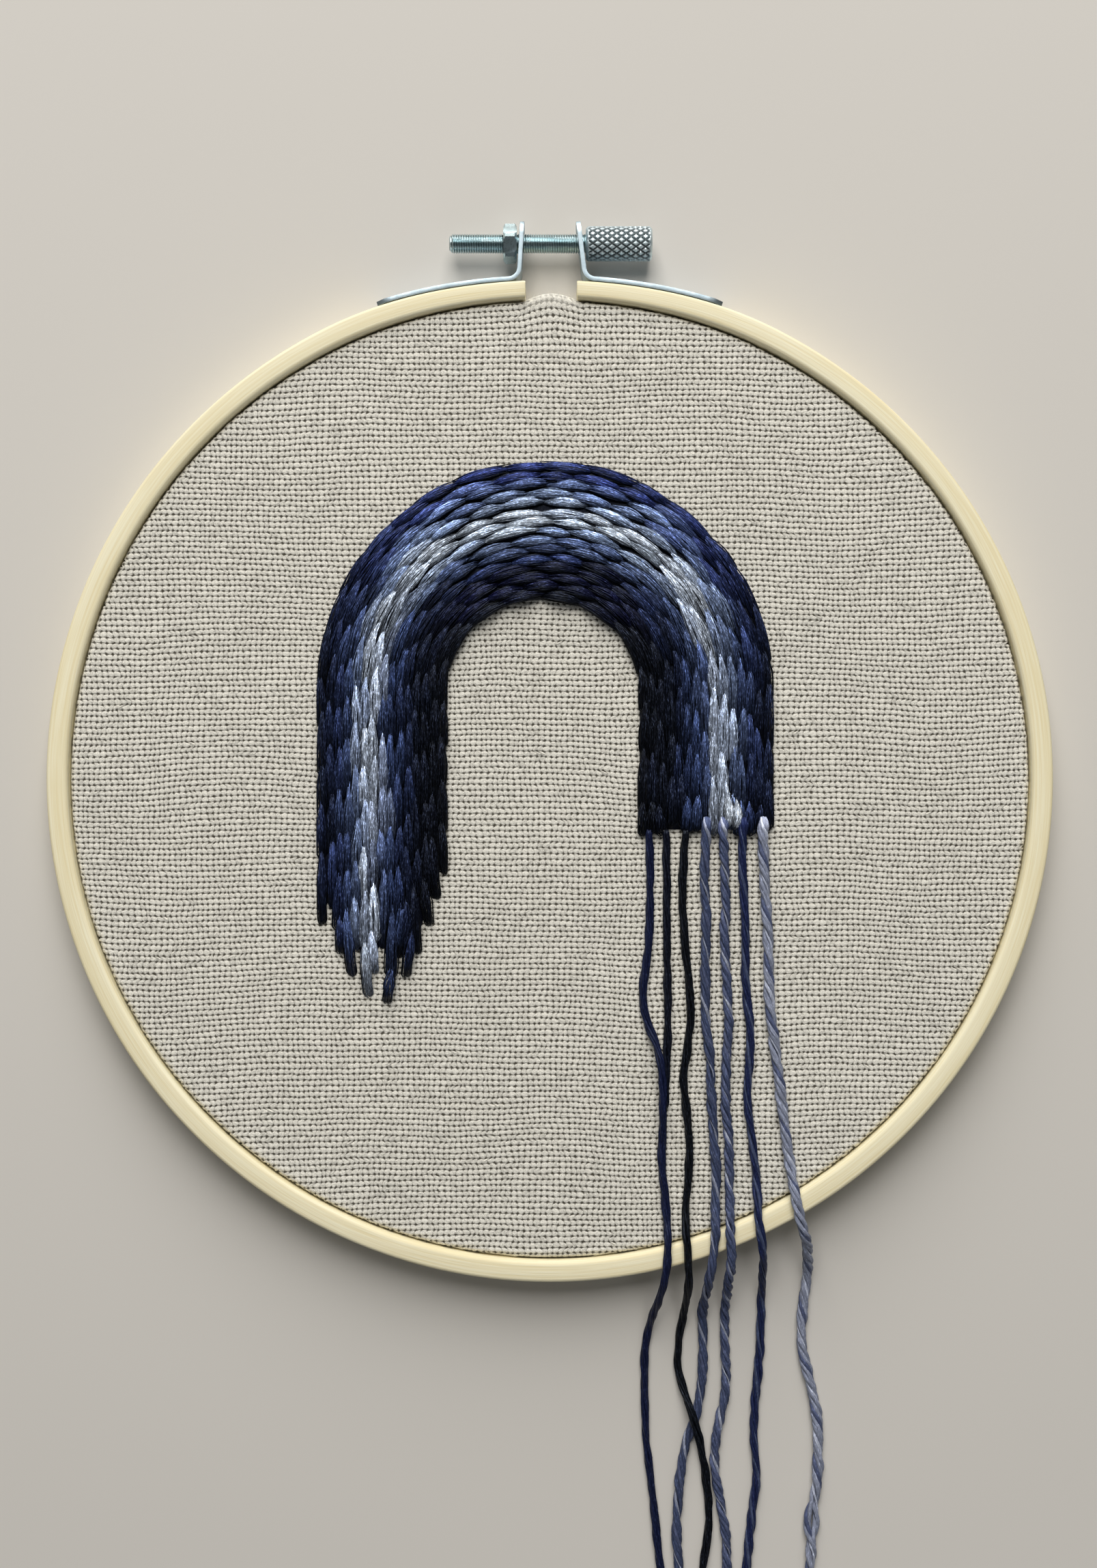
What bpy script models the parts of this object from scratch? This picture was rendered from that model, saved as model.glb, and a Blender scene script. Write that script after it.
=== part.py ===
# An embroidery hoop lying on its back, with a cloth stretched in it and a plain
# round arch stitched on the cloth. Seven loose thread tails run from the arch's
# shorter leg over the rim and down to the surface.
# Metres. +Z points out of the stitched face, +Y towards the tension screw.
# Sizes below are measured from the hoop's own centre.

import math

import bmesh
import bpy
from mathutils import Matrix, Vector
from mathutils.geometry import interpolate_bezier

MM = 0.001
GAP = 0.3 * MM  # clearance between neighbouring pieces

# Outer hoop: a bent wooden strip, split at the top
HOOP_RADIUS = 102 * MM
HOOP_WALL = 4.3 * MM
HOOP_HEIGHT = 10 * MM
HOOP_OUTER_ROUND = 0.7 * MM
HOOP_INNER_ROUND = 1.0 * MM
HOOP_STEPS = 60
ROUND_SIDES = 20  # on the screw and the holes it runs through
SPLIT_LEFT = -5.0 * MM
SPLIT_RIGHT = 5.6 * MM

# The screw draws the hoop's ends in, and what it clamps follows
PULL_IN = 1.0 * MM
PULL_FULL_ANGLE = math.radians(3)
PULL_NONE_ANGLE = math.radians(26)

# Cloth: a flat disc whose edge turns down between the two rings
CLOTH_THICKNESS = 1.0 * MM
CLOTH_TOP = HOOP_HEIGHT - 1.4 * MM
CLOTH_RADIUS = HOOP_RADIUS - HOOP_WALL - GAP
CLOTH_BEND = 1.2 * MM
CLOTH_HEM_HEIGHT = 0.8 * MM
BULGE_CENTRE = 0.5 * MM
BULGE_HALF_WIDTH = 4.4 * MM
BULGE_DEPTH = 2.2 * MM
BULGE_CUTS = 7

# Inner ring, under the cloth
INNER_RADIUS = CLOTH_RADIUS - CLOTH_THICKNESS - GAP
INNER_WALL = 4.3 * MM
INNER_HEIGHT = CLOTH_TOP - CLOTH_THICKNESS - GAP
INNER_ROUND = 0.5 * MM

# Brackets: a bent metal strip on each end of the outer hoop
STRIP_THICKNESS = 0.9 * MM
STRIP_WIDTH = 8 * MM
STRIP_FOOT_ANGLE = math.radians(4)
STRIP_START_ANGLE = math.radians(6.5)
STRIP_END_ANGLE = math.radians(20)
STRIP_POINTS = 6
EAR_TOP = 113.2 * MM
EAR_BEND = 2.4 * MM
EAR_ROUND = 2.2 * MM
EAR_HOLE_RADIUS = 2.5 * MM
EAR_HOLE_CUT = 8 * MM
LEFT_EAR = {"x": -5.8 * MM, "lean": math.radians(3.5), "side": -1}
RIGHT_EAR = {"x": 6.25 * MM, "lean": math.radians(7), "side": 1}

# Tension screw, a 4 mm thread with a knurled head, and its nut
SCREW_Y = 109.4 * MM
SCREW_Z = HOOP_HEIGHT / 2
SCREW_RADIUS = 2.0 * MM
SCREW_END = -20.5 * MM
HEAD_RADIUS = 3.5 * MM
HEAD_START = 7.4 * MM
HEAD_END = 20.9 * MM
HEAD_CHAMFER = 0.5 * MM
NUT_FLATS = 7.0 * MM
NUT_THICKNESS = 2.7 * MM
NUT_RIGHT = -6.75 * MM
NUT_TURN = math.radians(20)
NUT_HOLE_RADIUS = 2.36 * MM

# The stitched arch, as the ellipses of its outer and inner edges
ARCH_CENTRE_Y = 17.6 * MM
ARCH_OUTER = {"centre_x": -0.9 * MM, "half_width": 46.0 * MM, "rise": 46.5 * MM}
ARCH_INNER = {"centre_x": -1.4 * MM, "half_width": 19.5 * MM, "rise": 18.5 * MM}
ARCH_RIGHT_END = -10.8 * MM
ARCH_EDGE_THICKNESS = 0.8 * MM
ARCH_BED_THICKNESS = 1.3 * MM
STITCH_RELIEF = 1.0 * MM
STITCH_LENGTH = 11 * MM
STITCH_ROWS = 12
ROW_POINTS = (0, 0.15, 0.5, 0.85)  # shares of a row's width: groove, shoulder, crest, shoulder
RIDGE_POWER = 0.7
ROW_STAGGER = 0.38  # of a stitch, between neighbouring rows
SWELL_LOW = 0.45  # relief where one stitch meets the next, as a share of the crest's
LEFT_LEG_STEPS = 14
CROWN_STEPS = 28
RIGHT_LEG_STEPS = 8

# Where the longer leg's rows of stitches end, from its outer row to its inner one
LEG_TIPS_MM = (-29.7, -35.0, -36.8, -40.2, -44.3, -42.2, -45.6, -38.4, -40.3, -35.5, -29.7, -24.4)
TIP_ROUND = 2.2 * MM

# Thread tails lie on the cloth, cross the rim and drop to the surface
TAIL_SIDES_RESOLUTION = 2
RIM_CLIMB_START = 91 * MM
RIM_CLIMB_END = 97.5 * MM
RIM_DROP_START = 103 * MM
RIM_DROP_END = 117 * MM
FLOOR_CLEARANCE = 0.2 * MM
TAIL_POINTS_APART = 2.0  # in thread widths
ROUTE_SAMPLES = 9  # between two route points

# Each route row is x, y and how far the thread is lifted by another under it
TAILS = {
    "tail_navy": {
        "width": 1.6,
        "colour": (0.018, 0.026, 0.085),
        "route": (
            (20.1, -11.1, 0), (20.3, -17.2, 0), (20.3, -25.0, 0), (20.1, -33.0, 0),
            (19.1, -40.9, 0), (18.9, -45.2, 0), (19.9, -49.6, 0), (21.3, -53.3, 0.9),
            (22.4, -57.2, 1.9), (22.8, -62.0, 1.9), (22.8, -67.0, 1.9), (22.8, -73.0, 0),
            (22.7, -78.0, 0), (23.3, -84.0, 0), (23.8, -91.0, 0), (23.7, -98.0, 0),
            (22.5, -105.0, 0), (20.8, -111.5, 0), (19.7, -118.5, 0), (19.6, -127.0, 0),
            (19.8, -135.2, 0), (20.7, -143.0, 0), (21.6, -151.0, 0), (22.4, -159.0, 0),
            (23.6, -168.5, 0), (24.4, -176.0, 0),
        ),
    },
    "tail_midnight": {
        "width": 1.6,
        "colour": (0.008, 0.011, 0.035),
        "route": (
            (23.6, -11.1, 0), (23.7, -19.8, 0), (23.7, -30.3, 0), (23.9, -40.9, 0),
            (23.9, -49.0, 0), (23.8, -56.0, 0), (23.5, -61.5, 0), (23.2, -67.0, 0),
        ),
    },
    "tail_black": {
        "width": 1.6,
        "colour": (0.004, 0.005, 0.008),
        "route": (
            (27.5, -11.1, 0), (27.1, -17.0, 0), (26.9, -25.0, 0), (27.4, -33.5, 0),
            (28.2, -41.0, 0), (28.5, -48.0, 0), (27.9, -54.5, 0), (27.1, -60.5, 0),
            (27.6, -66.2, 0), (28.3, -73.5, 0), (28.1, -80.5, 0), (27.5, -88.0, 0),
            (27.8, -95.0, 0), (28.2, -102.0, 0), (27.5, -110.0, 0), (26.6, -116.5, 0),
            (26.5, -121.5, 0), (27.4, -125.2, 0.6), (29.7, -131.8, 2.4), (31.3, -138.2, 0.5),
            (32.3, -144.5, 0), (32.9, -151.0, 0), (32.4, -158.0, 0), (31.3, -164.5, 0),
            (30.6, -172.0, 0),
        ),
    },
    "tail_slate": {
        "width": 2.0,
        "colour": (0.085, 0.115, 0.24),
        "route": (
            (31.7, -11.1, 0), (31.3, -20.7, 0), (31.7, -27.0, 0), (31.6, -34.0, 0),
            (31.5, -42.0, 0), (31.7, -50.0, 0), (32.5, -57.0, 0), (32.7, -64.0, 0),
            (33.2, -72.0, 0), (33.7, -80.0, 0), (33.5, -88.0, 0), (33.2, -95.0, 0),
            (32.2, -102.5, 0), (31.5, -109.5, 0), (31.7, -117.0, 0), (31.3, -124.5, 0),
            (30.3, -131.3, 0), (28.4, -136.0, 0), (27.2, -142.0, 0), (26.5, -149.0, 0),
            (26.2, -156.5, 0), (26.9, -164.0, 0), (28.2, -171.0, 0), (29.0, -180.0, 0),
        ),
    },
    "tail_dusk": {
        "width": 2.0,
        "colour": (0.11, 0.14, 0.27),
        "route": (
            (35.1, -11.1, 0), (35.4, -17.5, 0), (35.6, -25.0, 0), (35.4, -33.5, 0),
            (35.9, -42.0, 0), (36.2, -49.8, 0), (35.8, -57.5, 0), (35.6, -65.0, 0),
            (36.2, -73.0, 0), (36.4, -81.0, 0), (36.4, -88.5, 0), (36.7, -95.5, 0),
            (36.4, -103.0, 0), (36.1, -111.0, 0), (36.2, -118.5, 0), (36.4, -125.5, 0),
            (35.0, -132.5, 0), (34.0, -139.5, 0), (34.7, -146.5, 0), (36.0, -153.5, 0),
            (36.6, -160.5, 0), (36.5, -168.5, 0), (35.8, -175.5, 0),
        ),
    },
    "tail_indigo": {
        "width": 1.8,
        "colour": (0.035, 0.045, 0.13),
        "route": (
            (39.1, -11.1, 0), (39.0, -17.5, 0), (39.4, -25.0, 0), (39.7, -33.5, 0),
            (39.7, -42.0, 0), (40.6, -51.0, 0), (40.4, -57.5, 0), (40.0, -64.5, 0),
            (40.9, -72.0, 0), (41.7, -80.0, 0), (42.2, -88.5, 0), (43.1, -96.0, 0),
            (43.7, -104.0, 0), (43.5, -112.5, 0), (43.2, -120.5, 0), (42.4, -128.5, 0),
            (42.2, -136.5, 0), (42.7, -143.5, 0), (41.9, -150.5, 0), (41.2, -157.5, 0),
            (40.5, -165.0, 0), (40.9, -173.5, 0), (41.6, -181.0, 0),
        ),
    },
    "tail_mist": {
        "width": 2.2,
        "colour": (0.17, 0.2, 0.32),
        "route": (
            (43.2, -11.1, 0), (43.4, -19.0, 0), (43.9, -27.0, 0), (44.3, -35.0, 0),
            (44.4, -43.0, 0), (45.1, -51.0, 0), (46.2, -59.0, 0), (47.1, -67.0, 0),
            (48.3, -76.0, 0), (49.5, -84.0, 0), (51.2, -91.0, 0), (52.8, -97.0, 0),
            (53.0, -103.0, 0), (52.2, -109.5, 0), (52.0, -116.0, 0), (53.2, -122.5, 0),
            (54.9, -129.5, 0), (55.4, -137.5, 0), (55.2, -144.5, 0), (54.2, -151.5, 0),
            (54.0, -158.0, 0), (53.8, -165.5, 0), (54.6, -173.0, 0),
        ),
    },
}

# The whole part is centred on its box, thread tails left out
HOOP_CENTRE_Y = -(EAR_TOP - HOOP_RADIUS) / 2

MATERIALS = {
    "wood": {"colour": (0.83, 0.74, 0.5), "roughness": 0.5, "metallic": 0.0},
    "cloth": {"colour": (0.56, 0.53, 0.46), "roughness": 0.95, "metallic": 0.0},
    "stitching": {"colour": (0.1, 0.13, 0.27), "roughness": 0.6, "metallic": 0.0},
    "steel": {"colour": (0.72, 0.73, 0.74), "roughness": 0.28, "metallic": 1.0},
}


def clear_scene():
    for old in list(bpy.data.objects):
        bpy.data.objects.remove(old, do_unlink=True)


def add_collection(name):
    collection = bpy.data.collections.new(name)
    bpy.context.scene.collection.children.link(collection)
    return collection


def make_material(name, colour, roughness, metallic):
    material = bpy.data.materials.new(name)
    material.use_nodes = True
    shader = material.node_tree.nodes["Principled BSDF"]
    shader.inputs["Base Color"].default_value = (*colour, 1)
    shader.inputs["Roughness"].default_value = roughness
    shader.inputs["Metallic"].default_value = metallic
    return material


def add_object(name, data, material, collection, parent):
    piece = bpy.data.objects.new(name, data)
    data.materials.clear()
    data.materials.append(material)
    collection.objects.link(piece)
    piece.parent = parent
    return piece


def smooth_step(value, low, high):
    share = min(max((value - low) / (high - low), 0), 1)
    return share * share * (3 - 2 * share)


def mix(start, end, share):
    return start + (end - start) * share


def shade_round(mesh, angle=math.radians(35)):
    mesh.shade_smooth()
    mesh.set_sharp_from_angle(angle=angle)


def rounded_outline(corners, steps):
    """Outline points, with each corner (x, y, radius) rounded by an arc."""
    points = []
    for index, (x, y, radius) in enumerate(corners):
        corner = Vector((x, y))
        if radius == 0:
            points.append(corner)
            continue
        before = Vector(corners[index - 1][:2]) - corner
        after = Vector(corners[(index + 1) % len(corners)][:2]) - corner
        half_angle = before.angle(after) / 2
        reach = radius / math.tan(half_angle)
        start = corner + before.normalized() * reach
        end = corner + after.normalized() * reach
        centre = corner + (before.normalized() + after.normalized()).normalized() * (
            radius / math.sin(half_angle)
        )
        sweep = (start - centre).angle_signed(end - centre)
        for step in range(steps + 1):
            turn = Matrix.Rotation(-sweep * step / steps, 2)
            points.append(centre + turn @ (start - centre))
    return points


def turned_mesh(name, outline, steps, closed):
    """Turn an outline of (radius, height) points about Z with a Screw modifier."""
    guide_mesh = bpy.data.meshes.new(name + "_outline")
    edges = [(index, index + 1) for index in range(len(outline) - 1)]
    if closed:
        edges.append((len(outline) - 1, 0))
    guide_mesh.from_pydata([(radius, 0, height) for radius, height in outline], edges, [])
    guide = bpy.data.objects.new(name + "_guide", guide_mesh)
    bpy.context.scene.collection.objects.link(guide)
    screw = guide.modifiers.new("turn", "SCREW")
    screw.steps = steps
    screw.render_steps = steps
    screw.use_merge_vertices = True
    screw.merge_threshold = 0.00001
    evaluated = guide.evaluated_get(bpy.context.evaluated_depsgraph_get())
    mesh = bpy.data.meshes.new_from_object(evaluated)
    mesh.name = name
    bpy.data.objects.remove(guide, do_unlink=True)
    return mesh


def edit_mesh(mesh, change):
    shape = bmesh.new()
    shape.from_mesh(mesh)
    change(shape)
    bmesh.ops.recalc_face_normals(shape, faces=shape.faces[:])
    shape.to_mesh(mesh)
    shape.free()


def add_cut(piece, cutter):
    cut = piece.modifiers.new("cut", "BOOLEAN")
    cut.operation = "DIFFERENCE"
    cut.solver = "EXACT"
    cut.object = cutter


def add_cutter(name, data, collection, parent):
    cutter = bpy.data.objects.new(name, data)
    collection.objects.link(cutter)
    cutter.parent = parent
    cutter.hide_render = True
    cutter.display_type = "WIRE"
    return cutter


def pull_in(x, y):
    """How far the clamped rings are drawn towards the centre near the split."""
    from_top = abs(math.atan2(x, y))
    return PULL_IN * (1 - smooth_step(from_top, PULL_FULL_ANGLE, PULL_NONE_ANGLE))


def draw_in_rim(shape, rim_start):
    """Draw in what lies beyond rim_start from the centre, fully at the edge."""
    for vertex in shape.verts:
        radius = math.hypot(vertex.co.x, vertex.co.y)
        if radius <= rim_start:
            continue
        scale = 1 - pull_in(vertex.co.x, vertex.co.y) / radius
        vertex.co.x *= scale
        vertex.co.y *= scale


def outer_hoop(material, collection, cutters, parent):
    inner = HOOP_RADIUS - HOOP_WALL
    outline = rounded_outline(
        (
            (inner, HOOP_HEIGHT, HOOP_INNER_ROUND),
            (HOOP_RADIUS, HOOP_HEIGHT, HOOP_OUTER_ROUND),
            (HOOP_RADIUS, 0, HOOP_OUTER_ROUND),
            (inner, 0, HOOP_OUTER_ROUND),
        ),
        steps=2,
    )
    mesh = turned_mesh("outer_hoop", outline, HOOP_STEPS, True)
    edit_mesh(mesh, lambda shape: draw_in_rim(shape, 0))
    shade_round(mesh)
    hoop = add_object("outer_hoop", mesh, material, collection, parent)
    split_mesh = bpy.data.meshes.new("split")
    shape = bmesh.new()
    bmesh.ops.create_cube(shape, size=1)
    shape.to_mesh(split_mesh)
    shape.free()
    split = add_cutter("split", split_mesh, cutters, parent)
    split.location = ((SPLIT_LEFT + SPLIT_RIGHT) / 2, HOOP_RADIUS, HOOP_HEIGHT / 2)
    split.scale = (SPLIT_RIGHT - SPLIT_LEFT, 4 * HOOP_WALL, 2 * HOOP_HEIGHT)
    add_cut(hoop, split)


def inner_hoop(material, collection, parent):
    inner = INNER_RADIUS - INNER_WALL
    outline = rounded_outline(
        (
            (inner, INNER_HEIGHT, INNER_ROUND),
            (INNER_RADIUS, INNER_HEIGHT, INNER_ROUND),
            (INNER_RADIUS, 0, INNER_ROUND),
            (inner, 0, INNER_ROUND),
        ),
        steps=1,
    )
    mesh = turned_mesh("inner_hoop", outline, HOOP_STEPS, True)
    edit_mesh(mesh, lambda shape: draw_in_rim(shape, 0))
    shade_round(mesh)
    add_object("inner_hoop", mesh, material, collection, parent)


def bulge_cloth(shape):
    """Puff the cloth's edge out between the hoop's two ends."""
    for cut in range(BULGE_CUTS):
        share = 2 * cut / (BULGE_CUTS - 1) - 1
        near_split = [face for face in shape.faces if face.calc_center_median().y > 0]
        edges = {edge for face in near_split for edge in face.edges}
        corners = {vertex for face in near_split for vertex in face.verts}
        bmesh.ops.bisect_plane(
            shape,
            geom=list(corners) + list(edges) + near_split,
            plane_co=(BULGE_CENTRE + share * BULGE_HALF_WIDTH, 0, 0),
            plane_no=(1, 0, 0),
        )
    for vertex in shape.verts:
        across = (vertex.co.x - BULGE_CENTRE) / BULGE_HALF_WIDTH
        if vertex.co.y < CLOTH_RADIUS - 4 * CLOTH_BEND or abs(across) >= 1:
            continue
        height_share = smooth_step(vertex.co.z, CLOTH_HEM_HEIGHT, CLOTH_TOP - CLOTH_BEND)
        vertex.co.y += BULGE_DEPTH * (1 - across * across) * height_share


def cloth(material, collection, parent):
    under = CLOTH_TOP - CLOTH_THICKNESS
    inside = CLOTH_RADIUS - CLOTH_THICKNESS
    outer_side = rounded_outline(
        (
            (0, CLOTH_TOP, 0),
            (CLOTH_RADIUS, CLOTH_TOP, CLOTH_BEND),
            (CLOTH_RADIUS, CLOTH_HEM_HEIGHT, 0),
        ),
        steps=3,
    )
    inner_side = [Vector((inside, CLOTH_HEM_HEIGHT)), Vector((inside, under)), Vector((0, under))]
    mesh = turned_mesh("cloth", outer_side + inner_side, HOOP_STEPS, False)

    def shape_cloth(shape):
        draw_in_rim(shape, CLOTH_RADIUS / 2)
        bulge_cloth(shape)

    edit_mesh(mesh, shape_cloth)
    shade_round(mesh)
    add_object("cloth", mesh, material, collection, parent)


def strip_centre(angle):
    """Middle of the bracket's strip, on the outer hoop's side at an angle from the top."""
    direction = Vector((math.sin(angle), math.cos(angle)))
    radius = HOOP_RADIUS + GAP + STRIP_THICKNESS / 2
    return direction * (radius - pull_in(direction.x, direction.y))


def bracket_path(ear):
    """The bracket from above: down the ear, round the bend and along the hoop."""
    side = ear["side"]
    slope = -side * math.tan(ear["lean"])
    top = (ear["x"] + slope * (EAR_TOP - SCREW_Y), EAR_TOP, 0)
    foot_y = strip_centre(side * STRIP_FOOT_ANGLE).y
    foot = (ear["x"] + slope * (foot_y - SCREW_Y), foot_y, EAR_BEND)
    strip = []
    for step in range(STRIP_POINTS):
        angle = mix(STRIP_START_ANGLE, STRIP_END_ANGLE, step / (STRIP_POINTS - 1))
        strip.append((*strip_centre(side * angle), 0))
    return rounded_outline([top, foot] + strip, steps=4)


def bracket(name, ear, material, collection, cutters, parent):
    """A strip on edge, its free corners rounded, given its thickness by Solidify."""
    mesh = bpy.data.meshes.new(name)
    shape = bmesh.new()
    low = SCREW_Z - STRIP_WIDTH / 2
    lower = [shape.verts.new((*point, low)) for point in bracket_path(ear)]
    edges = [shape.edges.new(pair) for pair in zip(lower, lower[1:])]
    raised = bmesh.ops.extrude_edge_only(shape, edges=edges)["geom"]
    for vertex in raised:
        if isinstance(vertex, bmesh.types.BMVert):
            vertex.co.z += STRIP_WIDTH
    corners = [vertex for vertex in shape.verts if len(vertex.link_edges) == 2]
    bmesh.ops.bevel(
        shape, geom=corners, offset=EAR_ROUND, segments=2, profile=0.5, affect="VERTICES"
    )
    bmesh.ops.recalc_face_normals(shape, faces=shape.faces[:])
    shape.to_mesh(mesh)
    shape.free()
    shade_round(mesh)
    piece = add_object(name, mesh, material, collection, parent)
    thicken = piece.modifiers.new("thickness", "SOLIDIFY")
    thicken.thickness = STRIP_THICKNESS
    thicken.offset = 0
    thicken.use_even_offset = True
    hole_mesh = rod_mesh(EAR_HOLE_RADIUS, EAR_HOLE_CUT, ROUND_SIDES)
    hole = add_cutter(name + "_hole", hole_mesh, cutters, parent)
    hole.location = (ear["x"], SCREW_Y, SCREW_Z)
    hole.rotation_euler = (0, math.radians(90), 0)
    add_cut(piece, hole)


def rod_mesh(radius, length, sides):
    mesh = bpy.data.meshes.new("rod")
    shape = bmesh.new()
    bmesh.ops.create_cone(
        shape, cap_ends=True, segments=sides, radius1=radius, radius2=radius, depth=length
    )
    shape.to_mesh(mesh)
    shape.free()
    return mesh


def tension_screw(material, collection, parent):
    """Rod and knurled head as one turned piece, on its own axis along X."""
    outline = (
        (0, HEAD_END),
        (HEAD_RADIUS - HEAD_CHAMFER, HEAD_END),
        (HEAD_RADIUS, HEAD_END - HEAD_CHAMFER),
        (HEAD_RADIUS, HEAD_START + HEAD_CHAMFER),
        (HEAD_RADIUS - HEAD_CHAMFER, HEAD_START),
        (SCREW_RADIUS, HEAD_START),
        (SCREW_RADIUS, SCREW_END + HEAD_CHAMFER),
        (SCREW_RADIUS - HEAD_CHAMFER, SCREW_END),
        (0, SCREW_END),
    )
    mesh = turned_mesh("tension_screw", outline, ROUND_SIDES, False)
    shade_round(mesh)
    screw = add_object("tension_screw", mesh, material, collection, parent)
    screw.location = (0, SCREW_Y, SCREW_Z)
    screw.rotation_euler = (0, math.radians(90), 0)


def screw_nut(material, collection, cutters, parent):
    corner_radius = NUT_FLATS / 2 / math.cos(math.radians(30))
    nut_mesh = rod_mesh(corner_radius, NUT_THICKNESS, 6)
    nut = add_object("screw_nut", nut_mesh, material, collection, parent)
    nut.location = (NUT_RIGHT - NUT_THICKNESS / 2, SCREW_Y, SCREW_Z)
    nut.rotation_mode = "ZYX"
    nut.rotation_euler = (0, math.radians(90), NUT_TURN)
    hole_mesh = rod_mesh(NUT_HOLE_RADIUS, 3 * NUT_THICKNESS, ROUND_SIDES)
    hole = add_cutter("nut_hole", hole_mesh, cutters, parent)
    hole.location = nut.location
    hole.rotation_euler = (0, math.radians(90), 0)
    add_cut(nut, hole)


def left_end(row, share):
    """Where the longer leg ends: each row has a round tip, with a notch between two rows."""
    if share > 0:
        from_middle = 2 * share - 1
        return LEG_TIPS_MM[row] * MM + TIP_ROUND * (1 - math.sqrt(1 - from_middle * from_middle))
    beside = LEG_TIPS_MM[max(row - 1, 0) : row + 1]
    return max(beside) * MM + TIP_ROUND


def arch_place(row, share, station):
    """Point on the arch in a row of stitches, and how far along the arch it is."""
    across = (row + share) / STITCH_ROWS
    centre_x = mix(ARCH_OUTER["centre_x"], ARCH_INNER["centre_x"], across)
    half_width = mix(ARCH_OUTER["half_width"], ARCH_INNER["half_width"], across)
    rise = mix(ARCH_OUTER["rise"], ARCH_INNER["rise"], across)
    if station <= LEFT_LEG_STEPS:
        x = centre_x - half_width
        y = mix(left_end(row, share), ARCH_CENTRE_Y, station / LEFT_LEG_STEPS)
        return x, y, y - ARCH_CENTRE_Y
    station -= LEFT_LEG_STEPS
    if station <= CROWN_STEPS:
        turn = math.pi * station / CROWN_STEPS
        x = centre_x - half_width * math.cos(turn)
        return x, ARCH_CENTRE_Y + rise * math.sin(turn), half_width * turn
    station -= CROWN_STEPS
    y = mix(ARCH_CENTRE_Y, ARCH_RIGHT_END, station / RIGHT_LEG_STEPS)
    return centre_x + half_width, y, half_width * math.pi + ARCH_CENTRE_Y - y


def stitch_height(row, share, run):
    """Thickness of the stitching: rows of overlapping stitches, a step apart in each row."""
    ridge = math.sin(math.pi * share) ** RIDGE_POWER
    swell = math.sin(math.pi * ((run / STITCH_LENGTH + ROW_STAGGER * row) % 1))
    rows_from_edge = min(row + share, STITCH_ROWS - row - share)
    bed = mix(ARCH_EDGE_THICKNESS, ARCH_BED_THICKNESS, smooth_step(rows_from_edge, 0, 1))
    return bed + STITCH_RELIEF * ridge * mix(SWELL_LOW, 1, swell)


def arch_stitching(material, collection, parent):
    """A grid bent along the arch and raised as rows of stitches, on a flat underside."""
    mesh = bpy.data.meshes.new("arch_stitching")
    shape = bmesh.new()
    width_steps = STITCH_ROWS * len(ROW_POINTS)
    length_steps = LEFT_LEG_STEPS + CROWN_STEPS + RIGHT_LEG_STEPS
    bmesh.ops.create_grid(shape, x_segments=width_steps, y_segments=length_steps, size=0.5)
    underside = CLOTH_TOP + GAP
    for vertex in shape.verts:
        row, point = divmod(round((vertex.co.x + 0.5) * width_steps), len(ROW_POINTS))
        station = round((vertex.co.y + 0.5) * length_steps)
        x, y, run = arch_place(row, ROW_POINTS[point], station)
        height = stitch_height(row, ROW_POINTS[point], run)
        if station in (0, length_steps):
            height = ARCH_EDGE_THICKNESS
        vertex.co = (x, y, underside + height)
    rim = [edge for edge in shape.edges if edge.is_boundary]
    skirt = bmesh.ops.extrude_edge_only(shape, edges=rim)["geom"]
    for part in skirt:
        if isinstance(part, bmesh.types.BMVert):
            part.co.z = underside
    base = [part for part in skirt if isinstance(part, bmesh.types.BMEdge) and part.is_boundary]
    bmesh.ops.contextual_create(shape, geom=base)
    bmesh.ops.recalc_face_normals(shape, faces=shape.faces[:])
    shape.to_mesh(mesh)
    shape.free()
    shade_round(mesh, math.radians(60))
    add_object("arch_stitching", mesh, material, collection, parent)


def lying_height(x, y, radius):
    """Height of a thread's middle over the cloth, the rim or the surface beyond it."""
    from_centre = math.hypot(x, y)
    on_cloth = CLOTH_TOP + GAP + radius
    on_rim = HOOP_HEIGHT + GAP + radius
    on_floor = FLOOR_CLEARANCE + radius
    if from_centre < RIM_DROP_START:
        return mix(on_cloth, on_rim, smooth_step(from_centre, RIM_CLIMB_START, RIM_CLIMB_END))
    return mix(on_rim, on_floor, smooth_step(from_centre, RIM_DROP_START, RIM_DROP_END))


def smooth_route(route, spacing):
    """Evenly spaced points on a smooth curve through the route's own points."""
    points = [Vector(row) * MM for row in route]
    dense = []
    for index in range(len(points) - 1):
        start = points[index]
        end = points[index + 1]
        before = points[index - 1] if index else start * 2 - end
        after = points[index + 2] if index + 2 < len(points) else end * 2 - start
        handle_start = start + (end - before) / 6
        handle_end = end - (after - start) / 6
        dense += interpolate_bezier(start, handle_start, handle_end, end, ROUTE_SAMPLES)[:-1]
    dense.append(points[-1])
    lengths = [0]
    for start, end in zip(dense, dense[1:]):
        lengths.append(lengths[-1] + (end - start).length)
    count = round(lengths[-1] / spacing)
    even = []
    index = 0
    for step in range(count + 1):
        target = lengths[-1] * step / count
        while index < len(dense) - 2 and lengths[index + 1] < target:
            index += 1
        share = (target - lengths[index]) / (lengths[index + 1] - lengths[index])
        even.append(dense[index].lerp(dense[index + 1], min(share, 1)))
    return even


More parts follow.
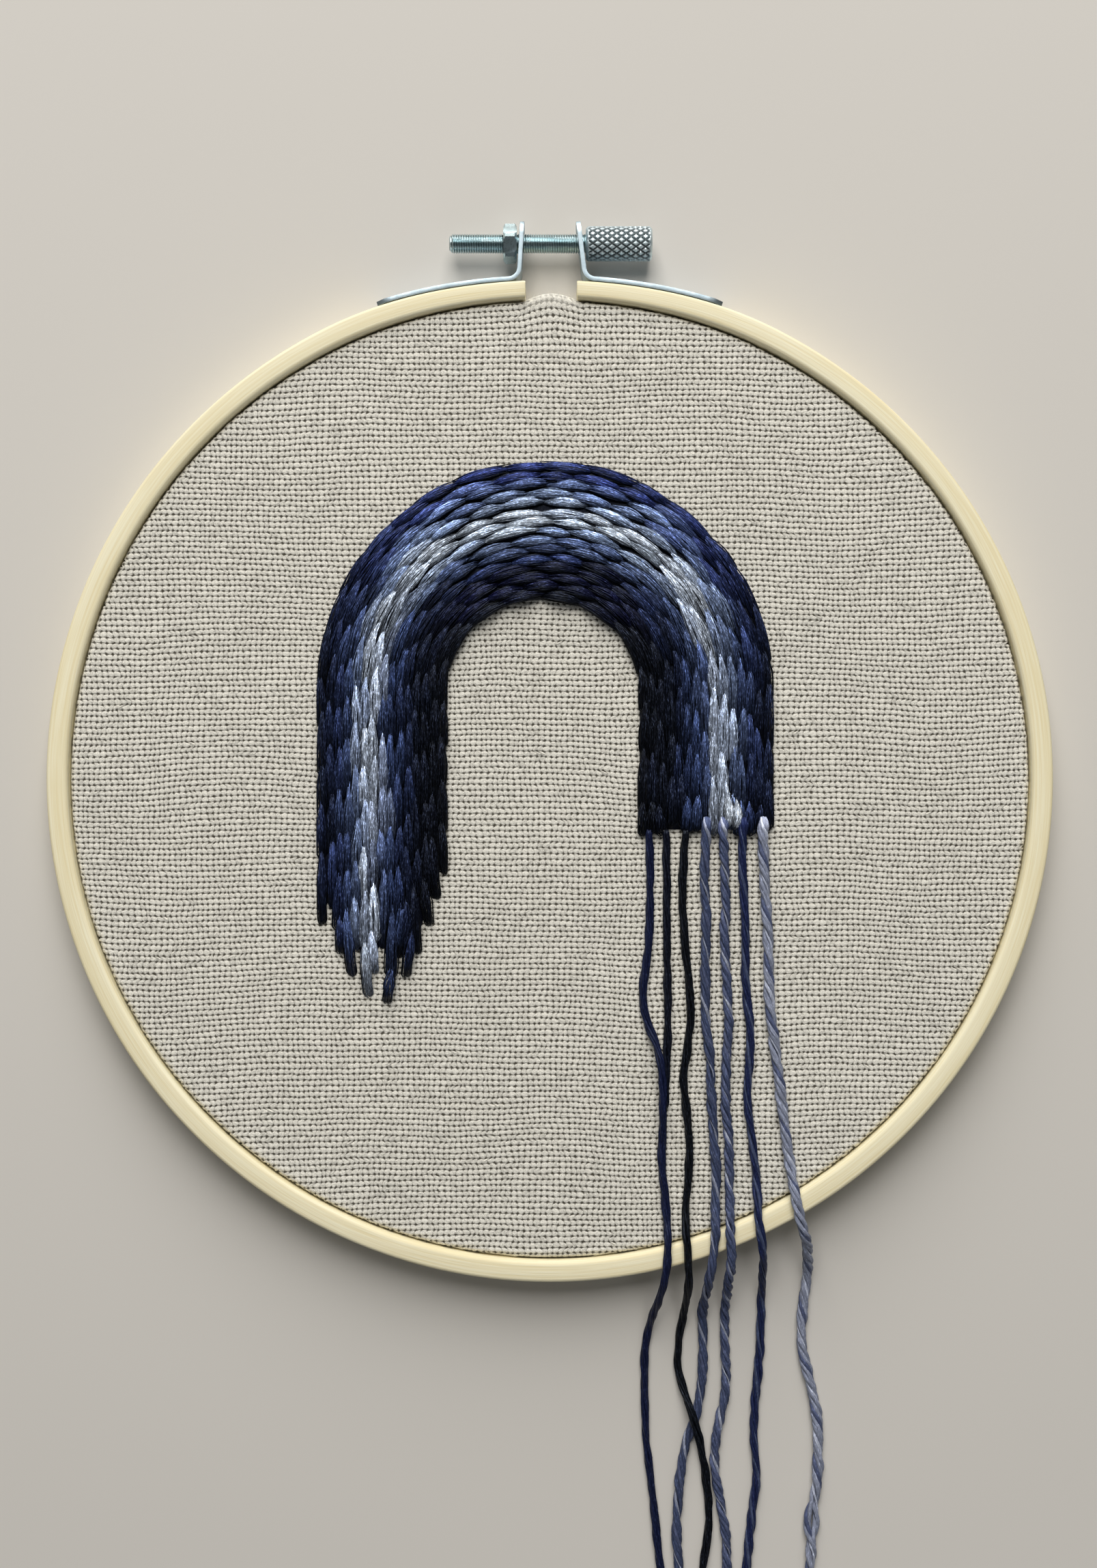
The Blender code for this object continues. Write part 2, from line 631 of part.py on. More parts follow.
def thread_tail(name, tail, collection, parent):
    radius = tail["width"] / 2 * MM
    curve = bpy.data.curves.new(name, "CURVE")
    curve.dimensions = "3D"
    curve.bevel_depth = radius
    curve.bevel_resolution = TAIL_SIDES_RESOLUTION
    curve.use_fill_caps = True
    points = smooth_route(tail["route"], TAIL_POINTS_APART * tail["width"] * MM)
    spline = curve.splines.new("POLY")
    spline.points.add(len(points) - 1)
    for target, point in zip(spline.points, points):
        height = lying_height(point.x, point.y, radius) + point.z
        target.co = (point.x, point.y, height, 1)
    material = make_material(name, tail["colour"], 0.7, 0.0)
    add_object(name, curve, material, collection, parent)


def build():
    clear_scene()
    pieces = add_collection("embroidery_hoop")
    cutters = add_collection("cutters")
    centre = bpy.data.objects.new("hoop_centre", None)
    pieces.objects.link(centre)
    centre.location = (0, HOOP_CENTRE_Y, 0)
    finish = {name: make_material(name, **look) for name, look in MATERIALS.items()}
    outer_hoop(finish["wood"], pieces, cutters, centre)
    inner_hoop(finish["wood"], pieces, centre)
    cloth(finish["cloth"], pieces, centre)
    arch_stitching(finish["stitching"], pieces, centre)
    bracket("bracket_left", LEFT_EAR, finish["steel"], pieces, cutters, centre)
    bracket("bracket_right", RIGHT_EAR, finish["steel"], pieces, cutters, centre)
    screw_nut(finish["steel"], pieces, cutters, centre)
    tension_screw(finish["steel"], pieces, centre)
    for name, tail in TAILS.items():
        thread_tail(name, tail, pieces, centre)


build()
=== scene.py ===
# A stitched cloth in a wooden embroidery hoop: everything that is seen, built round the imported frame.
# Shapes are worked out in millimetres from the hoop's own centre and put in place in metres at the end.
import math
import random

import bmesh
import bpy
from mathutils import Matrix, Vector
from mathutils.geometry import interpolate_bezier


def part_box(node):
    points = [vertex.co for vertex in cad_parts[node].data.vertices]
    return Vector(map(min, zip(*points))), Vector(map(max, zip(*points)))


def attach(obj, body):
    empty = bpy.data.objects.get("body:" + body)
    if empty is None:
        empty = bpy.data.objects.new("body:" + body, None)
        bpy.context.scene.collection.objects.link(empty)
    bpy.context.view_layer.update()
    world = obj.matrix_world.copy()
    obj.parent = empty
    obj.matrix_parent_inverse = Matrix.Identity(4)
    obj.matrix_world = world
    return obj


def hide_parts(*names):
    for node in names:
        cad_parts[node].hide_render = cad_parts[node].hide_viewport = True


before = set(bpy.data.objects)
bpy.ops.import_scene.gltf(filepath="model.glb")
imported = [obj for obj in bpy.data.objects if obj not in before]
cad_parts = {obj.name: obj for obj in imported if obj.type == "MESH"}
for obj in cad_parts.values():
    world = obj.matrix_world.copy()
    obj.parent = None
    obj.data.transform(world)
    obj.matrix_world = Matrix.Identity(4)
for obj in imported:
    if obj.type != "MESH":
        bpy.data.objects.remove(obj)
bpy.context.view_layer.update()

mm = 0.001

# What the frame says about the hoop, in millimetres
hoopLow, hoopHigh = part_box("outer_hoop")
hoopRadius = (hoopHigh.x - hoopLow.x) / 2 / mm
hoopCentre = Vector((0, hoopLow.y + hoopRadius * mm, 0))
rimTop = hoopHigh.z / mm
clothLow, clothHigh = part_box("cloth")
clothTop = clothHigh.z / mm
clothHem = clothLow.z / mm
clothRadius = (clothHigh.x - clothLow.x) / 2 / mm
innerLow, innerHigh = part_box("inner_hoop")
innerTop = innerHigh.z / mm
innerRadius = (innerHigh.x - innerLow.x) / 2 / mm
toMetres = Matrix.Translation(hoopCentre) @ Matrix.Scale(mm, 4)


class Flow:
    # a socket of a node tree; arithmetic on it adds Math or Vector Math nodes
    def __init__(self, tree, socket=None):
        self.tree = tree
        self.socket = socket

    def node(self, kind, settings=None, values=None):
        made = self.tree.nodes.new(kind)
        for key, value in (settings or {}).items():
            setattr(made, key, value)
        ready = [socket for socket in made.inputs if socket.enabled]
        for key, value in (values or {}).items():
            target = ready[key] if isinstance(key, int) else next(s for s in ready if s.name == key)
            if isinstance(value, Flow):
                self.tree.links.new(value.socket, target)
            else:
                target.default_value = value
        return Flow(self.tree, next((s for s in made.outputs if s.enabled), None))

    def out(self, name):
        outputs = self.socket.node.outputs
        return Flow(self.tree, next(s for s in outputs if s.enabled and s.name == name))

    def math(self, operation, *others):
        terms = (self, *others)
        if any(isinstance(term, Flow) and term.socket.type in ("VECTOR", "RGBA") for term in terms):
            terms = [term if isinstance(term, Flow) else (term, term, term) for term in terms]
            return self.node("ShaderNodeVectorMath", {"operation": operation}, dict(enumerate(terms)))
        return self.node("ShaderNodeMath", {"operation": operation}, dict(enumerate(terms)))

    def __add__(self, other):
        return self.math("ADD", other)

    def __sub__(self, other):
        return self.math("SUBTRACT", other)

    def __mul__(self, other):
        return self.math("MULTIPLY", other)

    def __truediv__(self, other):
        return self.math("DIVIDE", other)

    def __pow__(self, other):
        return self.math("POWER", other)

    def __radd__(self, other):
        return self + other

    def __rmul__(self, other):
        return self * other

    def __rsub__(self, other):
        return self * -1 + other

    def low(self, other):
        return self.math("MINIMUM", other)

    def high(self, other):
        return self.math("MAXIMUM", other)

    def clamp(self, low=0, high=1):
        return self.high(low).low(high)

    def sin(self):
        return self.math("SINE")

    def cos(self):
        return self.math("COSINE")

    def root(self):
        return self.math("SQRT")

    def size(self):
        return self.math("ABSOLUTE")

    def step(self, low, high):
        # smoothly from 0 at low to 1 at high, where high may be the smaller one
        share = ((self - low) / (high - low)).clamp()
        return share * share * (3 - 2 * share)

    def towards(self, other, share):
        return self + (other - self) * share

    def fromMiddle(self):
        # 0 in the middle of every whole step and 1 at its ends
        return (self.math("FRACT") - 0.5).size() * 2

    def isOdd(self):
        return (self / 2).math("FRACT").math("GREATER_THAN", 0.25)

    def axis(self, name):
        return self.node("ShaderNodeSeparateXYZ", {}, {"Vector": self}).out(name)

    def vector(self, x, y, z):
        return self.node("ShaderNodeCombineXYZ", {}, {"X": x, "Y": y, "Z": z})

    def stretch(self, scale):
        return self.node("ShaderNodeVectorMath", {"operation": "MULTIPLY"}, {0: self, 1: scale})

    def chance(self, low, high, seed, kind="FLOAT"):
        values = {"Min": low, "Max": high, "Seed": seed}
        return self.node("FunctionNodeRandomValue", {"data_type": kind}, values)

    def noise(self, where, scale, detail=2.0, name="Fac"):
        values = {"Vector": where, "Scale": scale, "Detail": detail}
        return self.node("ShaderNodeTexNoise", {}, values).out(name)


def paint(red, green, blue):
    # a colour as a screen shows it, 0 to 255, made linear
    return tuple(((value / 255 + 0.055) / 1.055) ** 2.4 for value in (red, green, blue))


def mix(start, end, share):
    return start + (end - start) * share


def smoothStep(value, low, high):
    share = min(max((value - low) / (high - low), 0), 1)
    return share * share * (3 - 2 * share)


def newObject(name, data):
    made = bpy.data.objects.new(name, data)
    bpy.context.scene.collection.objects.link(made)
    return made


def newTree(name, sizes):
    tree = bpy.data.node_groups.new(name, "GeometryNodeTree")
    tree.interface.new_socket("Mesh", in_out="OUTPUT", socket_type="NodeSocketGeometry")
    tree.interface.new_socket("Blank", in_out="INPUT", socket_type="NodeSocketGeometry")
    tree.interface.new_socket("Finish", in_out="INPUT", socket_type="NodeSocketMaterial")
    for label, value in sizes.items():
        kind = "NodeSocketInt" if isinstance(value, int) else "NodeSocketFloat"
        tree.interface.new_socket(label, in_out="INPUT", socket_type=kind)
    return Flow(tree).node("NodeGroupInput")


def endTree(entry, geometry):
    whole = entry.node("GeometryNodeRealizeInstances", {}, {"Geometry": geometry})
    shaded = entry.node("GeometryNodeSetShadeSmooth", {}, {"Geometry": whole, "Shade Smooth": True})
    values = {"Geometry": shaded, "Material": entry.out("Finish")}
    finished = entry.node("GeometryNodeSetMaterial", {}, values)
    entry.node("NodeGroupOutput", {}, {0: finished})


def store(entry, geometry, name, value, kind="FLOAT"):
    settings = {"data_type": kind, "domain": "POINT"}
    values = {"Geometry": geometry, "Name": name, "Value": value}
    return entry.node("GeometryNodeStoreNamedAttribute", settings, values)


def named(entry, name, kind="FLOAT"):
    return entry.node("GeometryNodeInputNamedAttribute", {"data_type": kind}, {"Name": name})


def cylinder(entry):
    # a closed cylinder of radius 1 and height 1, as fine as the tree's inputs say
    return entry.node("GeometryNodeMeshCylinder", {"fill_type": "NGON"}, {
        "Vertices": entry.out("Sides"), "Side Segments": entry.out("Steps"),
        "Radius": 1.0, "Depth": 1.0}).out("Mesh")


def onPoints(entry, points):
    # such a cylinder on every point, ready to be bent
    placed = entry.node("GeometryNodeInstanceOnPoints", {}, {"Points": points, "Instance": cylinder(entry)})
    return entry.node("GeometryNodeRealizeInstances", {}, {"Geometry": placed})


def moved(entry, geometry, place):
    return entry.node("GeometryNodeSetPosition", {}, {"Geometry": geometry, "Position": place})


def plainMesh(name, carrier):
    # what an object's modifiers make of it, as a mesh of its own
    evaluated = carrier.evaluated_get(bpy.context.evaluated_depsgraph_get())
    mesh = bpy.data.meshes.new_from_object(evaluated)
    mesh.name = name
    bpy.data.objects.remove(carrier)
    return mesh


def grow(name, entry, sizes, finish, start=None):
    # runs a tree on its start mesh and keeps what comes out as a plain mesh
    carrier = newObject(name + "Carrier", start or bpy.data.meshes.new(name + "Start"))
    modifier = carrier.modifiers.new(name, "NODES")
    modifier.node_group = entry.tree
    given = {**sizes, "Finish": finish}
    for item in entry.tree.interface.items_tree:
        if item.in_out == "INPUT" and item.name in given:
            modifier[item.identifier] = given[item.name]
    return plainMesh(name, carrier)


def meshOf(name, points, faces):
    mesh = bpy.data.meshes.new(name)
    mesh.from_pydata([tuple(point) for point in points], [], faces)
    mesh.shade_smooth()
    return mesh


def tubeFaces(first, rings, sides, closed=False):
    # four-sided faces between rings of points, starting at the point numbered first
    faces = []
    for ring in range(rings if closed else rings - 1):
        here = first + ring * sides
        there = first + (ring + 1) % rings * sides
        for corner in range(sides):
            after = (corner + 1) % sides
            faces.append((here + corner, here + after, there + after, there + corner))
    return faces


def keep(mesh, name, kind, rows):
    # stores one value for each vertex
    attribute = mesh.attributes.new(name, kind, "POINT")
    field = {"FLOAT": "value", "FLOAT_VECTOR": "vector", "FLOAT_COLOR": "color"}[kind]
    flat = rows if kind == "FLOAT" else [part for row in rows for part in row]
    attribute.data.foreach_set(field, flat)


def outwards(mesh):
    shape = bmesh.new()
    shape.from_mesh(mesh)
    bmesh.ops.recalc_face_normals(shape, faces=shape.faces[:])
    shape.to_mesh(mesh)
    shape.free()


def addPiece(name, mesh, finish, replaced=(), body="hoop"):
    mesh.transform(toMetres)
    mesh.materials.clear()
    mesh.materials.append(finish)
    piece = newObject(name, mesh)
    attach(piece, body)
    if replaced:
        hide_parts(*replaced)
    return piece


def newMaterial(name):
    material = bpy.data.materials.new(name)
    material.use_nodes = True
    material.node_tree.nodes.clear()
    return material, Flow(material.node_tree)


def endMaterial(flow, values):
    shader = flow.node("ShaderNodeBsdfPrincipled", {}, values)
    flow.node("ShaderNodeOutputMaterial", {}, {"Surface": shader})


def attributeFlow(flow, name, output):
    return flow.node("ShaderNodeAttribute", {"attribute_name": name}).out(output)


def blend(flow, share, dark, bright):
    values = {"Factor": share, "A": (*dark, 1), "B": (*bright, 1)}
    return flow.node("ShaderNodeMix", {"data_type": "RGBA"}, values)


def bump(flow, height, distance, strength=1.0):
    values = {"Height": height, "Distance": distance, "Strength": strength}
    return flow.node("ShaderNodeBump", {}, values)


# Camera, light and floor, placed in millimetres from the hoop's centre
view = {"lens": 50, "height": 450.6, "offCentre": (-0.25, -1.12), "clipStart": 0.01}
light = {
    "window": {"from": (-80, 1300, 1120), "size": (1100, 2000), "power": 42.0, "colour": (1.0, 0.98, 0.95)},
    "fill": {"from": (500, -1300, 900), "size": (900, 900), "power": 2.0, "colour": (0.93, 0.96, 1.0)},
    "room": 0.06,
    "roomTint": (0.94, 0.97, 1.0),
}
ground = {"colour": paint(214, 210, 203), "roughness": 0.8, "reach": 2500, "drop": 0.05}


def addCamera():
    data = bpy.data.cameras.new("overhead")
    data.lens = view["lens"]
    data.clip_start = view["clipStart"]
    camera = newObject("overhead", data)
    camera.location = toMetres @ Vector((*view["offCentre"], view["height"]))
    bpy.context.scene.camera = camera


def addLight(name):
    values = light[name]
    data = bpy.data.lights.new(name, "AREA")
    data.shape = "RECTANGLE"
    data.size = values["size"][0] * mm
    data.size_y = values["size"][1] * mm
    data.energy = values["power"]
    data.color = values["colour"]
    lamp = newObject(name, data)
    lamp.location = toMetres @ Vector(values["from"])
    aim = hoopCentre - lamp.location
    lamp.rotation_euler = aim.to_track_quat("-Z", "Y").to_euler()


def addRoom():
    world = bpy.data.worlds.new("room")
    world.use_nodes = True
    background = world.node_tree.nodes["Background"]
    background.inputs["Color"].default_value = (*light["roomTint"], 1)
    background.inputs["Strength"].default_value = light["room"]
    bpy.context.scene.world = world
    bpy.context.scene.view_settings.view_transform = "Standard"


def addFloor():
    reach = ground["reach"]
    corners = [(x * reach, y * reach, -ground["drop"]) for x, y in ((-1, -1), (1, -1), (1, 1), (-1, 1))]
    mesh = meshOf("floor", corners, [(0, 1, 2, 3)])
    mesh.transform(toMetres)
    material, flow = newMaterial("floorPaint")
    endMaterial(flow, {"Base Color": (*ground["colour"], 1), "Roughness": ground["roughness"]})
    mesh.materials.append(material)
    newObject("floor", mesh)


addCamera()
addLight("window")
addLight("fill")
addRoom()
addFloor()
print("camera, light and floor are in place")

# Thread: one finish for every stitch and tail; each strand carries its own colour and its painted light and
# shade
threadLook = {
    "fibre": (6.0, 0.5, 1.0), "glint": (9.5, 1.3, 1.0), "patch": 0.35,  # how fine: across, along, by strand
    "darker": 0.7, "fibreGain": 0.45, "glintGain": 2.5, "patchGain": 0.4, "glow": (0.056, 0.071, 0.112),
    "depth": 0.00012, "relief": 0.7, "roughness": 0.5, "specular": 0.25, "specularTint": (0.7, 0.8, 1.0, 1),
}


def threadFinish(name, contrast):
    # contrast says how much the fibres and their painted glints show
    material, flow = newMaterial(name)
    tint = attributeFlow(flow, "tint", "Color")
    # the tone is each strand's own brightness times the light and shade painted on it
    tone = attributeFlow(flow, "tone", "Fac")
    along = attributeFlow(flow, "along", "Vector")
    fibres = flow.noise(along.stretch(threadLook["fibre"]), 1.0, 2.0)
    # glints are painted highlights: they lighten the fibres and add a pale blue colour to them
    glints = flow.noise(along.stretch(threadLook["glint"]), 1.0, 1.0).step(0.5, 0.68)
    patches = flow.noise(along, threadLook["patch"], 1.0) - 0.5
    lines = fibres.step(0.36, 0.64)
    gain = threadLook["fibreGain"] * lines + threadLook["glintGain"] * glints * lines
    shade = 1 - threadLook["darker"] * contrast + contrast * gain + patches * threadLook["patchGain"]
    glow = (glints * lines * tone * contrast).stretch(threadLook["glow"])
    endMaterial(flow, {
        "Base Color": tint * (shade * tone) + glow,
        "Roughness": threadLook["roughness"] - 0.2 * fibres,
        "Specular IOR Level": threadLook["specular"],
        "Specular Tint": threadLook["specularTint"],
        "Normal": bump(flow, fibres, threadLook["depth"], threadLook["relief"]),
    })
    return material


# Thread tails: turn is the length in which a thread's strands go once round it, and head says how much it
# swells where it leaves the stitches and how much it is painted brighter there. A route's rows hold x, y
# and, where another thread lies under it, how far that lifts it. Between the two y's of parted the strands
# lie that far apart.
navy = paint(18, 24, 54)
midnight = paint(12, 14, 26)
soot = paint(6, 7, 10)
slate = paint(66, 75, 104)
dusk = paint(84, 92, 122)
indigo = paint(30, 38, 76)
mist = paint(142, 148, 168)
pale = paint(168, 174, 192)
pearl = paint(190, 196, 214)
tailLay = {
    "gap": 0.3, "floorGap": 0.2,  # under a thread, on the cloth or rim and on the floor
    "rimClimb": (91, 97.5), "rimDrop": (103, 117),  # how far from the hoop's centre it goes up and down
    # how far back from the route's start, how high, and the share of the thread's radius on top of that
    "headRows": ((3.2, 10.6, 0.4), (1.9, 10.9, 0.4), (0.7, 10.3, 0.3), (-0.6, 9.6, 0.6)),
    "fullHead": 0.8, "routeStep": 2.5, "curvePoints": 33, "ringsApart": 0.8, "closingRings": 3,
}
tailStrand = {
    "sides": 7, "out": 0.58, "tipOut": 0.4,  # how far out in the thread's radius, and its share at the ends
    "girth": {5: 0.50, 6: 0.44}, "firstGirth": 0.6,  # how thick by the number of strands; the first's share
    "turnWaves": ((0.28, 23, 1), (0.175, 9.1, 2)),
    "outWaves": ((0.09, 1.9, 1), (0.06, 0.83, 3), (0.05, 6.7, 2)),
    "girthWaves": ((0.25, 5.3, 1),),
    "swell": 0.22, "swellFades": (1.5, 5.0), "shine": 1.3, "shineFades": (1.2, 5.5),
    "brightness": (0.85, 1.15), "fibreShift": 7.3,
}
tails = {
    "tail_navy": {
        "width": 1.6, "strands": 5, "turn": 26, "head": 0.2,
        "shades": (navy,),
        "route": (
            (20.1, -11.1), (20.3, -17.2), (20.3, -25.0), (20.1, -33.0), (19.1, -40.9),
            (18.9, -45.2), (19.9, -49.6), (21.3, -53.3, 0.9), (22.4, -57.2, 1.9), (22.8, -62.0, 1.9),
            (22.8, -67.0, 1.9), (22.8, -73.0), (22.7, -78.0), (23.3, -84.0), (23.8, -91.0),
            (23.7, -98.0), (22.5, -105.0), (20.8, -111.5), (19.7, -118.5), (19.6, -127.0),
            (19.8, -135.2), (20.7, -143.0), (21.6, -151.0), (22.4, -159.0), (23.6, -168.5),
            (24.4, -176.0),
        ),
    },
    "tail_midnight": {
        "width": 1.6, "strands": 5, "turn": 26, "head": 0.2,
        "shades": (midnight,),
        "route": (
            (23.6, -11.1), (23.7, -19.8), (23.7, -30.3), (23.9, -40.9), (23.9, -49.0),
            (23.8, -56.0), (23.5, -61.5), (23.2, -67.0),
        ),
    },
    "tail_black": {
        "width": 1.6, "strands": 5, "turn": 26, "head": 0.2,
        "shades": (soot,),
        "route": (
            (27.5, -11.1), (27.1, -17.0), (26.9, -25.0), (27.4, -33.5), (28.2, -41.0),
            (28.5, -48.0), (27.9, -54.5), (27.1, -60.5), (27.6, -66.2), (28.3, -73.5),
            (28.1, -80.5), (27.5, -88.0), (27.8, -95.0), (28.2, -102.0), (27.5, -110.0),
            (26.6, -116.5), (26.5, -121.5), (27.4, -125.2, 0.6), (29.7, -131.8, 2.4), (31.3, -138.2, 0.5),
            (32.3, -144.5), (32.9, -151.0), (32.4, -158.0), (31.3, -164.5), (30.6, -172.0),
        ),
    },
    "tail_slate": {
        "width": 2.0, "strands": 6, "turn": 12, "head": 1,
        "shades": (mist, slate, slate, dusk, slate, slate),
        "route": (
            (31.7, -11.1), (31.3, -20.7), (31.7, -27.0), (31.6, -34.0), (31.5, -42.0),
            (31.7, -50.0), (32.5, -57.0), (32.7, -64.0), (33.2, -72.0), (33.7, -80.0),
            (33.5, -88.0), (33.2, -95.0), (32.2, -102.5), (31.5, -109.5), (31.7, -117.0),
            (31.3, -124.5), (30.3, -131.3), (28.4, -136.0), (27.2, -142.0), (26.5, -149.0),
            (26.2, -156.5), (26.9, -164.0), (28.2, -171.0), (29.0, -180.0),
        ),
    },
    "tail_dusk": {
        "width": 2.0, "strands": 6, "turn": 9, "head": 1,
        "shades": (pale, dusk, slate, dusk, slate, dusk),
        "route": (
            (35.1, -11.1), (35.4, -17.5), (35.6, -25.0), (35.4, -33.5), (35.9, -42.0),
            (36.2, -49.8), (35.8, -57.5), (35.6, -65.0), (36.2, -73.0), (36.4, -81.0),
            (36.4, -88.5), (36.7, -95.5), (36.4, -103.0), (36.1, -111.0), (36.2, -118.5),
            (36.4, -125.5), (35.0, -132.5), (34.0, -139.5), (34.7, -146.5), (36.0, -153.5),
            (36.6, -160.5), (36.5, -168.5), (35.8, -175.5),
        ),
    },
    "tail_indigo": {
        "width": 1.8, "strands": 6, "turn": 18, "head": 0.8,
        "shades": (slate, indigo, indigo),
        "route": (
            (39.1, -11.1), (39.0, -17.5), (39.4, -25.0), (39.7, -33.5), (39.7, -42.0),
            (40.6, -51.0), (40.4, -57.5), (40.0, -64.5), (40.9, -72.0), (41.7, -80.0),
            (42.2, -88.5), (43.1, -96.0), (43.7, -104.0), (43.5, -112.5), (43.2, -120.5),
            (42.4, -128.5), (42.2, -136.5), (42.7, -143.5), (41.9, -150.5), (41.2, -157.5),
            (40.5, -165.0), (40.9, -173.5), (41.6, -181.0),
        ),
    },
    "tail_mist": {
        "width": 2.2, "strands": 6, "turn": 11, "head": 1,
        "shades": (pearl, mist, mist, dusk, mist, mist),
        "parted": (-158.5, -147.5, 0.95),
        "route": (
            (43.2, -11.1), (43.4, -19.0), (43.9, -27.0), (44.3, -35.0), (44.4, -43.0),
            (45.1, -51.0), (46.2, -59.0), (47.1, -67.0), (48.3, -76.0), (49.5, -84.0),
            (51.2, -91.0), (52.8, -97.0), (53.0, -103.0), (52.2, -109.5), (52.0, -116.0),
            (53.2, -122.5), (54.9, -129.5), (55.4, -137.5), (55.2, -144.5), (54.2, -151.5),
            (54.0, -158.0), (53.8, -165.5), (54.6, -173.0),
        ),
    },
}


def lyingHeight(x, y, radius):
    # a thread's middle over the cloth, the rim or the floor beyond it
    fromCentre = math.hypot(x, y)
    onCloth = clothTop + tailLay["gap"] + radius
    onRim = rimTop + tailLay["gap"] + radius
    onFloor = tailLay["floorGap"] + radius
    if fromCentre < tailLay["rimDrop"][0]:
        return mix(onCloth, onRim, smoothStep(fromCentre, *tailLay["rimClimb"]))
    return mix(onRim, onFloor, smoothStep(fromCentre, *tailLay["rimDrop"]))


def evenPoints(points, apart):
    # evenly spaced points on a smooth curve through the given ones
    dense = []
    for index in range(len(points) - 1):
        start = points[index]
        end = points[index + 1]
        before = points[index - 1] if index else start * 2 - end
        after = points[index + 2] if index + 2 < len(points) else end * 2 - start
        curve = interpolate_bezier(start, start + (end - before) / 6, end - (after - start) / 6, end,
                                   tailLay["curvePoints"])
        dense += curve[:-1]
    dense.append(points[-1])
    lengths = [0]
    for start, end in zip(dense, dense[1:]):
        lengths.append(lengths[-1] + (end - start).length)
    count = round(lengths[-1] / apart)
    even = []
    index = 0
    for step in range(count + 1):
        target = lengths[-1] * step / count
        while index < len(dense) - 2 and lengths[index + 1] < target:
            index += 1
        share = (target - lengths[index]) / (lengths[index + 1] - lengths[index])
        even.append(dense[index].lerp(dense[index + 1], min(share, 1)))
    return even


def tailPath(tail):
    radius = tail["width"] / 2
    x, y = tail["route"][0]
    # the head comes over the stitches' end before the thread lies down on the cloth
    head = [Vector((x, y + back, height + radius * share)) for back, height, share in tailLay["headRows"]]
    flat = evenPoints([Vector((*row, 0)[:3]) for row in tail["route"]], tailLay["routeStep"])
    lying = [point + Vector((0, 0, lyingHeight(point.x, point.y, radius))) for point in flat[1:]]
    start = head if tail["head"] >= tailLay["fullHead"] else head[2:]
    return evenPoints(start + lying, tailLay["ringsApart"])


def sideAndUp(line, index):
    # two directions at right angles to a line at one of its points
    ahead = line[min(index + 1, len(line) - 1)] - line[max(index - 1, 0)]
    side = ahead.cross(Vector((0, 0, 1))).normalized()
    return side, side.cross(ahead).normalized()


def ripple(run, wander, waves):
    # each wave has its size, its length and how strongly it follows the strand's own wander
    return sum(size * math.sin(run / length + times * wander) for size, length, times in waves)


def strandMesh(name, strands, shine):
    # tubes round lines of points, closed at both ends, with a colour, a painted highlight and a place along
    # each
    sides = tailStrand["sides"]
    points = []
    faces = []
    colours = []
    tones = []
    along = []
    for order, (line, girth, tint) in enumerate(strands):
        first = len(points)
        run = 0
        for index, point in enumerate(line):
            side, up = sideAndUp(line, index)
            run += (point - line[max(index - 1, 0)]).length
            for corner in range(sides):
                turn = math.tau * corner / sides
                points.append(point + (side * math.cos(turn) + up * math.sin(turn)) * girth[index])
                colours.append((*tint, 1))
                # near the head each strand is painted brighter, as a highlight that fades along it
                tones.append(1 + shine * (1 - smoothStep(run, *tailStrand["shineFades"])))
                along.append((girth[index] * turn + order * tailStrand["fibreShift"], run, order))
        faces += tubeFaces(first, len(line), sides)
        last = len(points) - sides
        faces.append(tuple(range(first, first + sides)))
        faces.append(tuple(range(last + sides - 1, last - 1, -1)))
    mesh = meshOf(name, points, faces)
    outwards(mesh)
    keep(mesh, "tint", "FLOAT_COLOR", colours)
    keep(mesh, "tone", "FLOAT", tones)
    keep(mesh, "along", "FLOAT_VECTOR", along)
    return mesh


def tailStrands(name, tail, path):
    # the strands' own lines, how thick each is at its points, and its colour
    dice = random.Random(name)
    radius = tail["width"] / 2
    count = tail["strands"]
    strands = []
    for strand in range(count):
        wander = dice.uniform(0, math.tau)
        line = []
        girth = []
        for index, point in enumerate(path):
            side, up = sideAndUp(path, index)
            run = index * tailLay["ringsApart"]
            turn = math.tau * (strand / count + run / tail["turn"])
            turn += ripple(run, wander, tailStrand["turnWaves"])
            out = radius * (tailStrand["out"] + ripple(run, wander, tailStrand["outWaves"]))
            # the strands close up at both ends of the thread
            fromEnd = min(index + 0.35, len(path) - index - 0.5, tailLay["closingRings"])
            close = math.sqrt(1 - (1 - fromEnd / tailLay["closingRings"]) ** 2)
            out *= mix(tailStrand["tipOut"], 1, close)
            place = (side * math.cos(turn) + up * math.sin(turn)) * out
            if "parted" in tail:
                low, high, reach = tail["parted"]
                apart = math.sin(math.pi * min(max((point.y - low) / (high - low), 0), 1)) ** 2
                place = place * (1 - 0.5 * apart) + side * (reach if strand % 2 else -reach) * apart
            line.append(point + place)
            nearHead = 1 - smoothStep(run, *tailStrand["swellFades"])
            swell = 1 + tailStrand["swell"] * tail["head"] * nearHead
            thin = 1
            if strand == 0 and len(tail["shades"]) > 2:
                thin = tailStrand["firstGirth"] + ripple(run, wander, tailStrand["girthWaves"])
            girth.append(radius * tailStrand["girth"][count] * close * swell * thin)
        brightness = dice.uniform(*tailStrand["brightness"])
        shade = tail["shades"][strand % len(tail["shades"])]
        strands.append((line, girth, [part * brightness for part in shade]))
    return strands


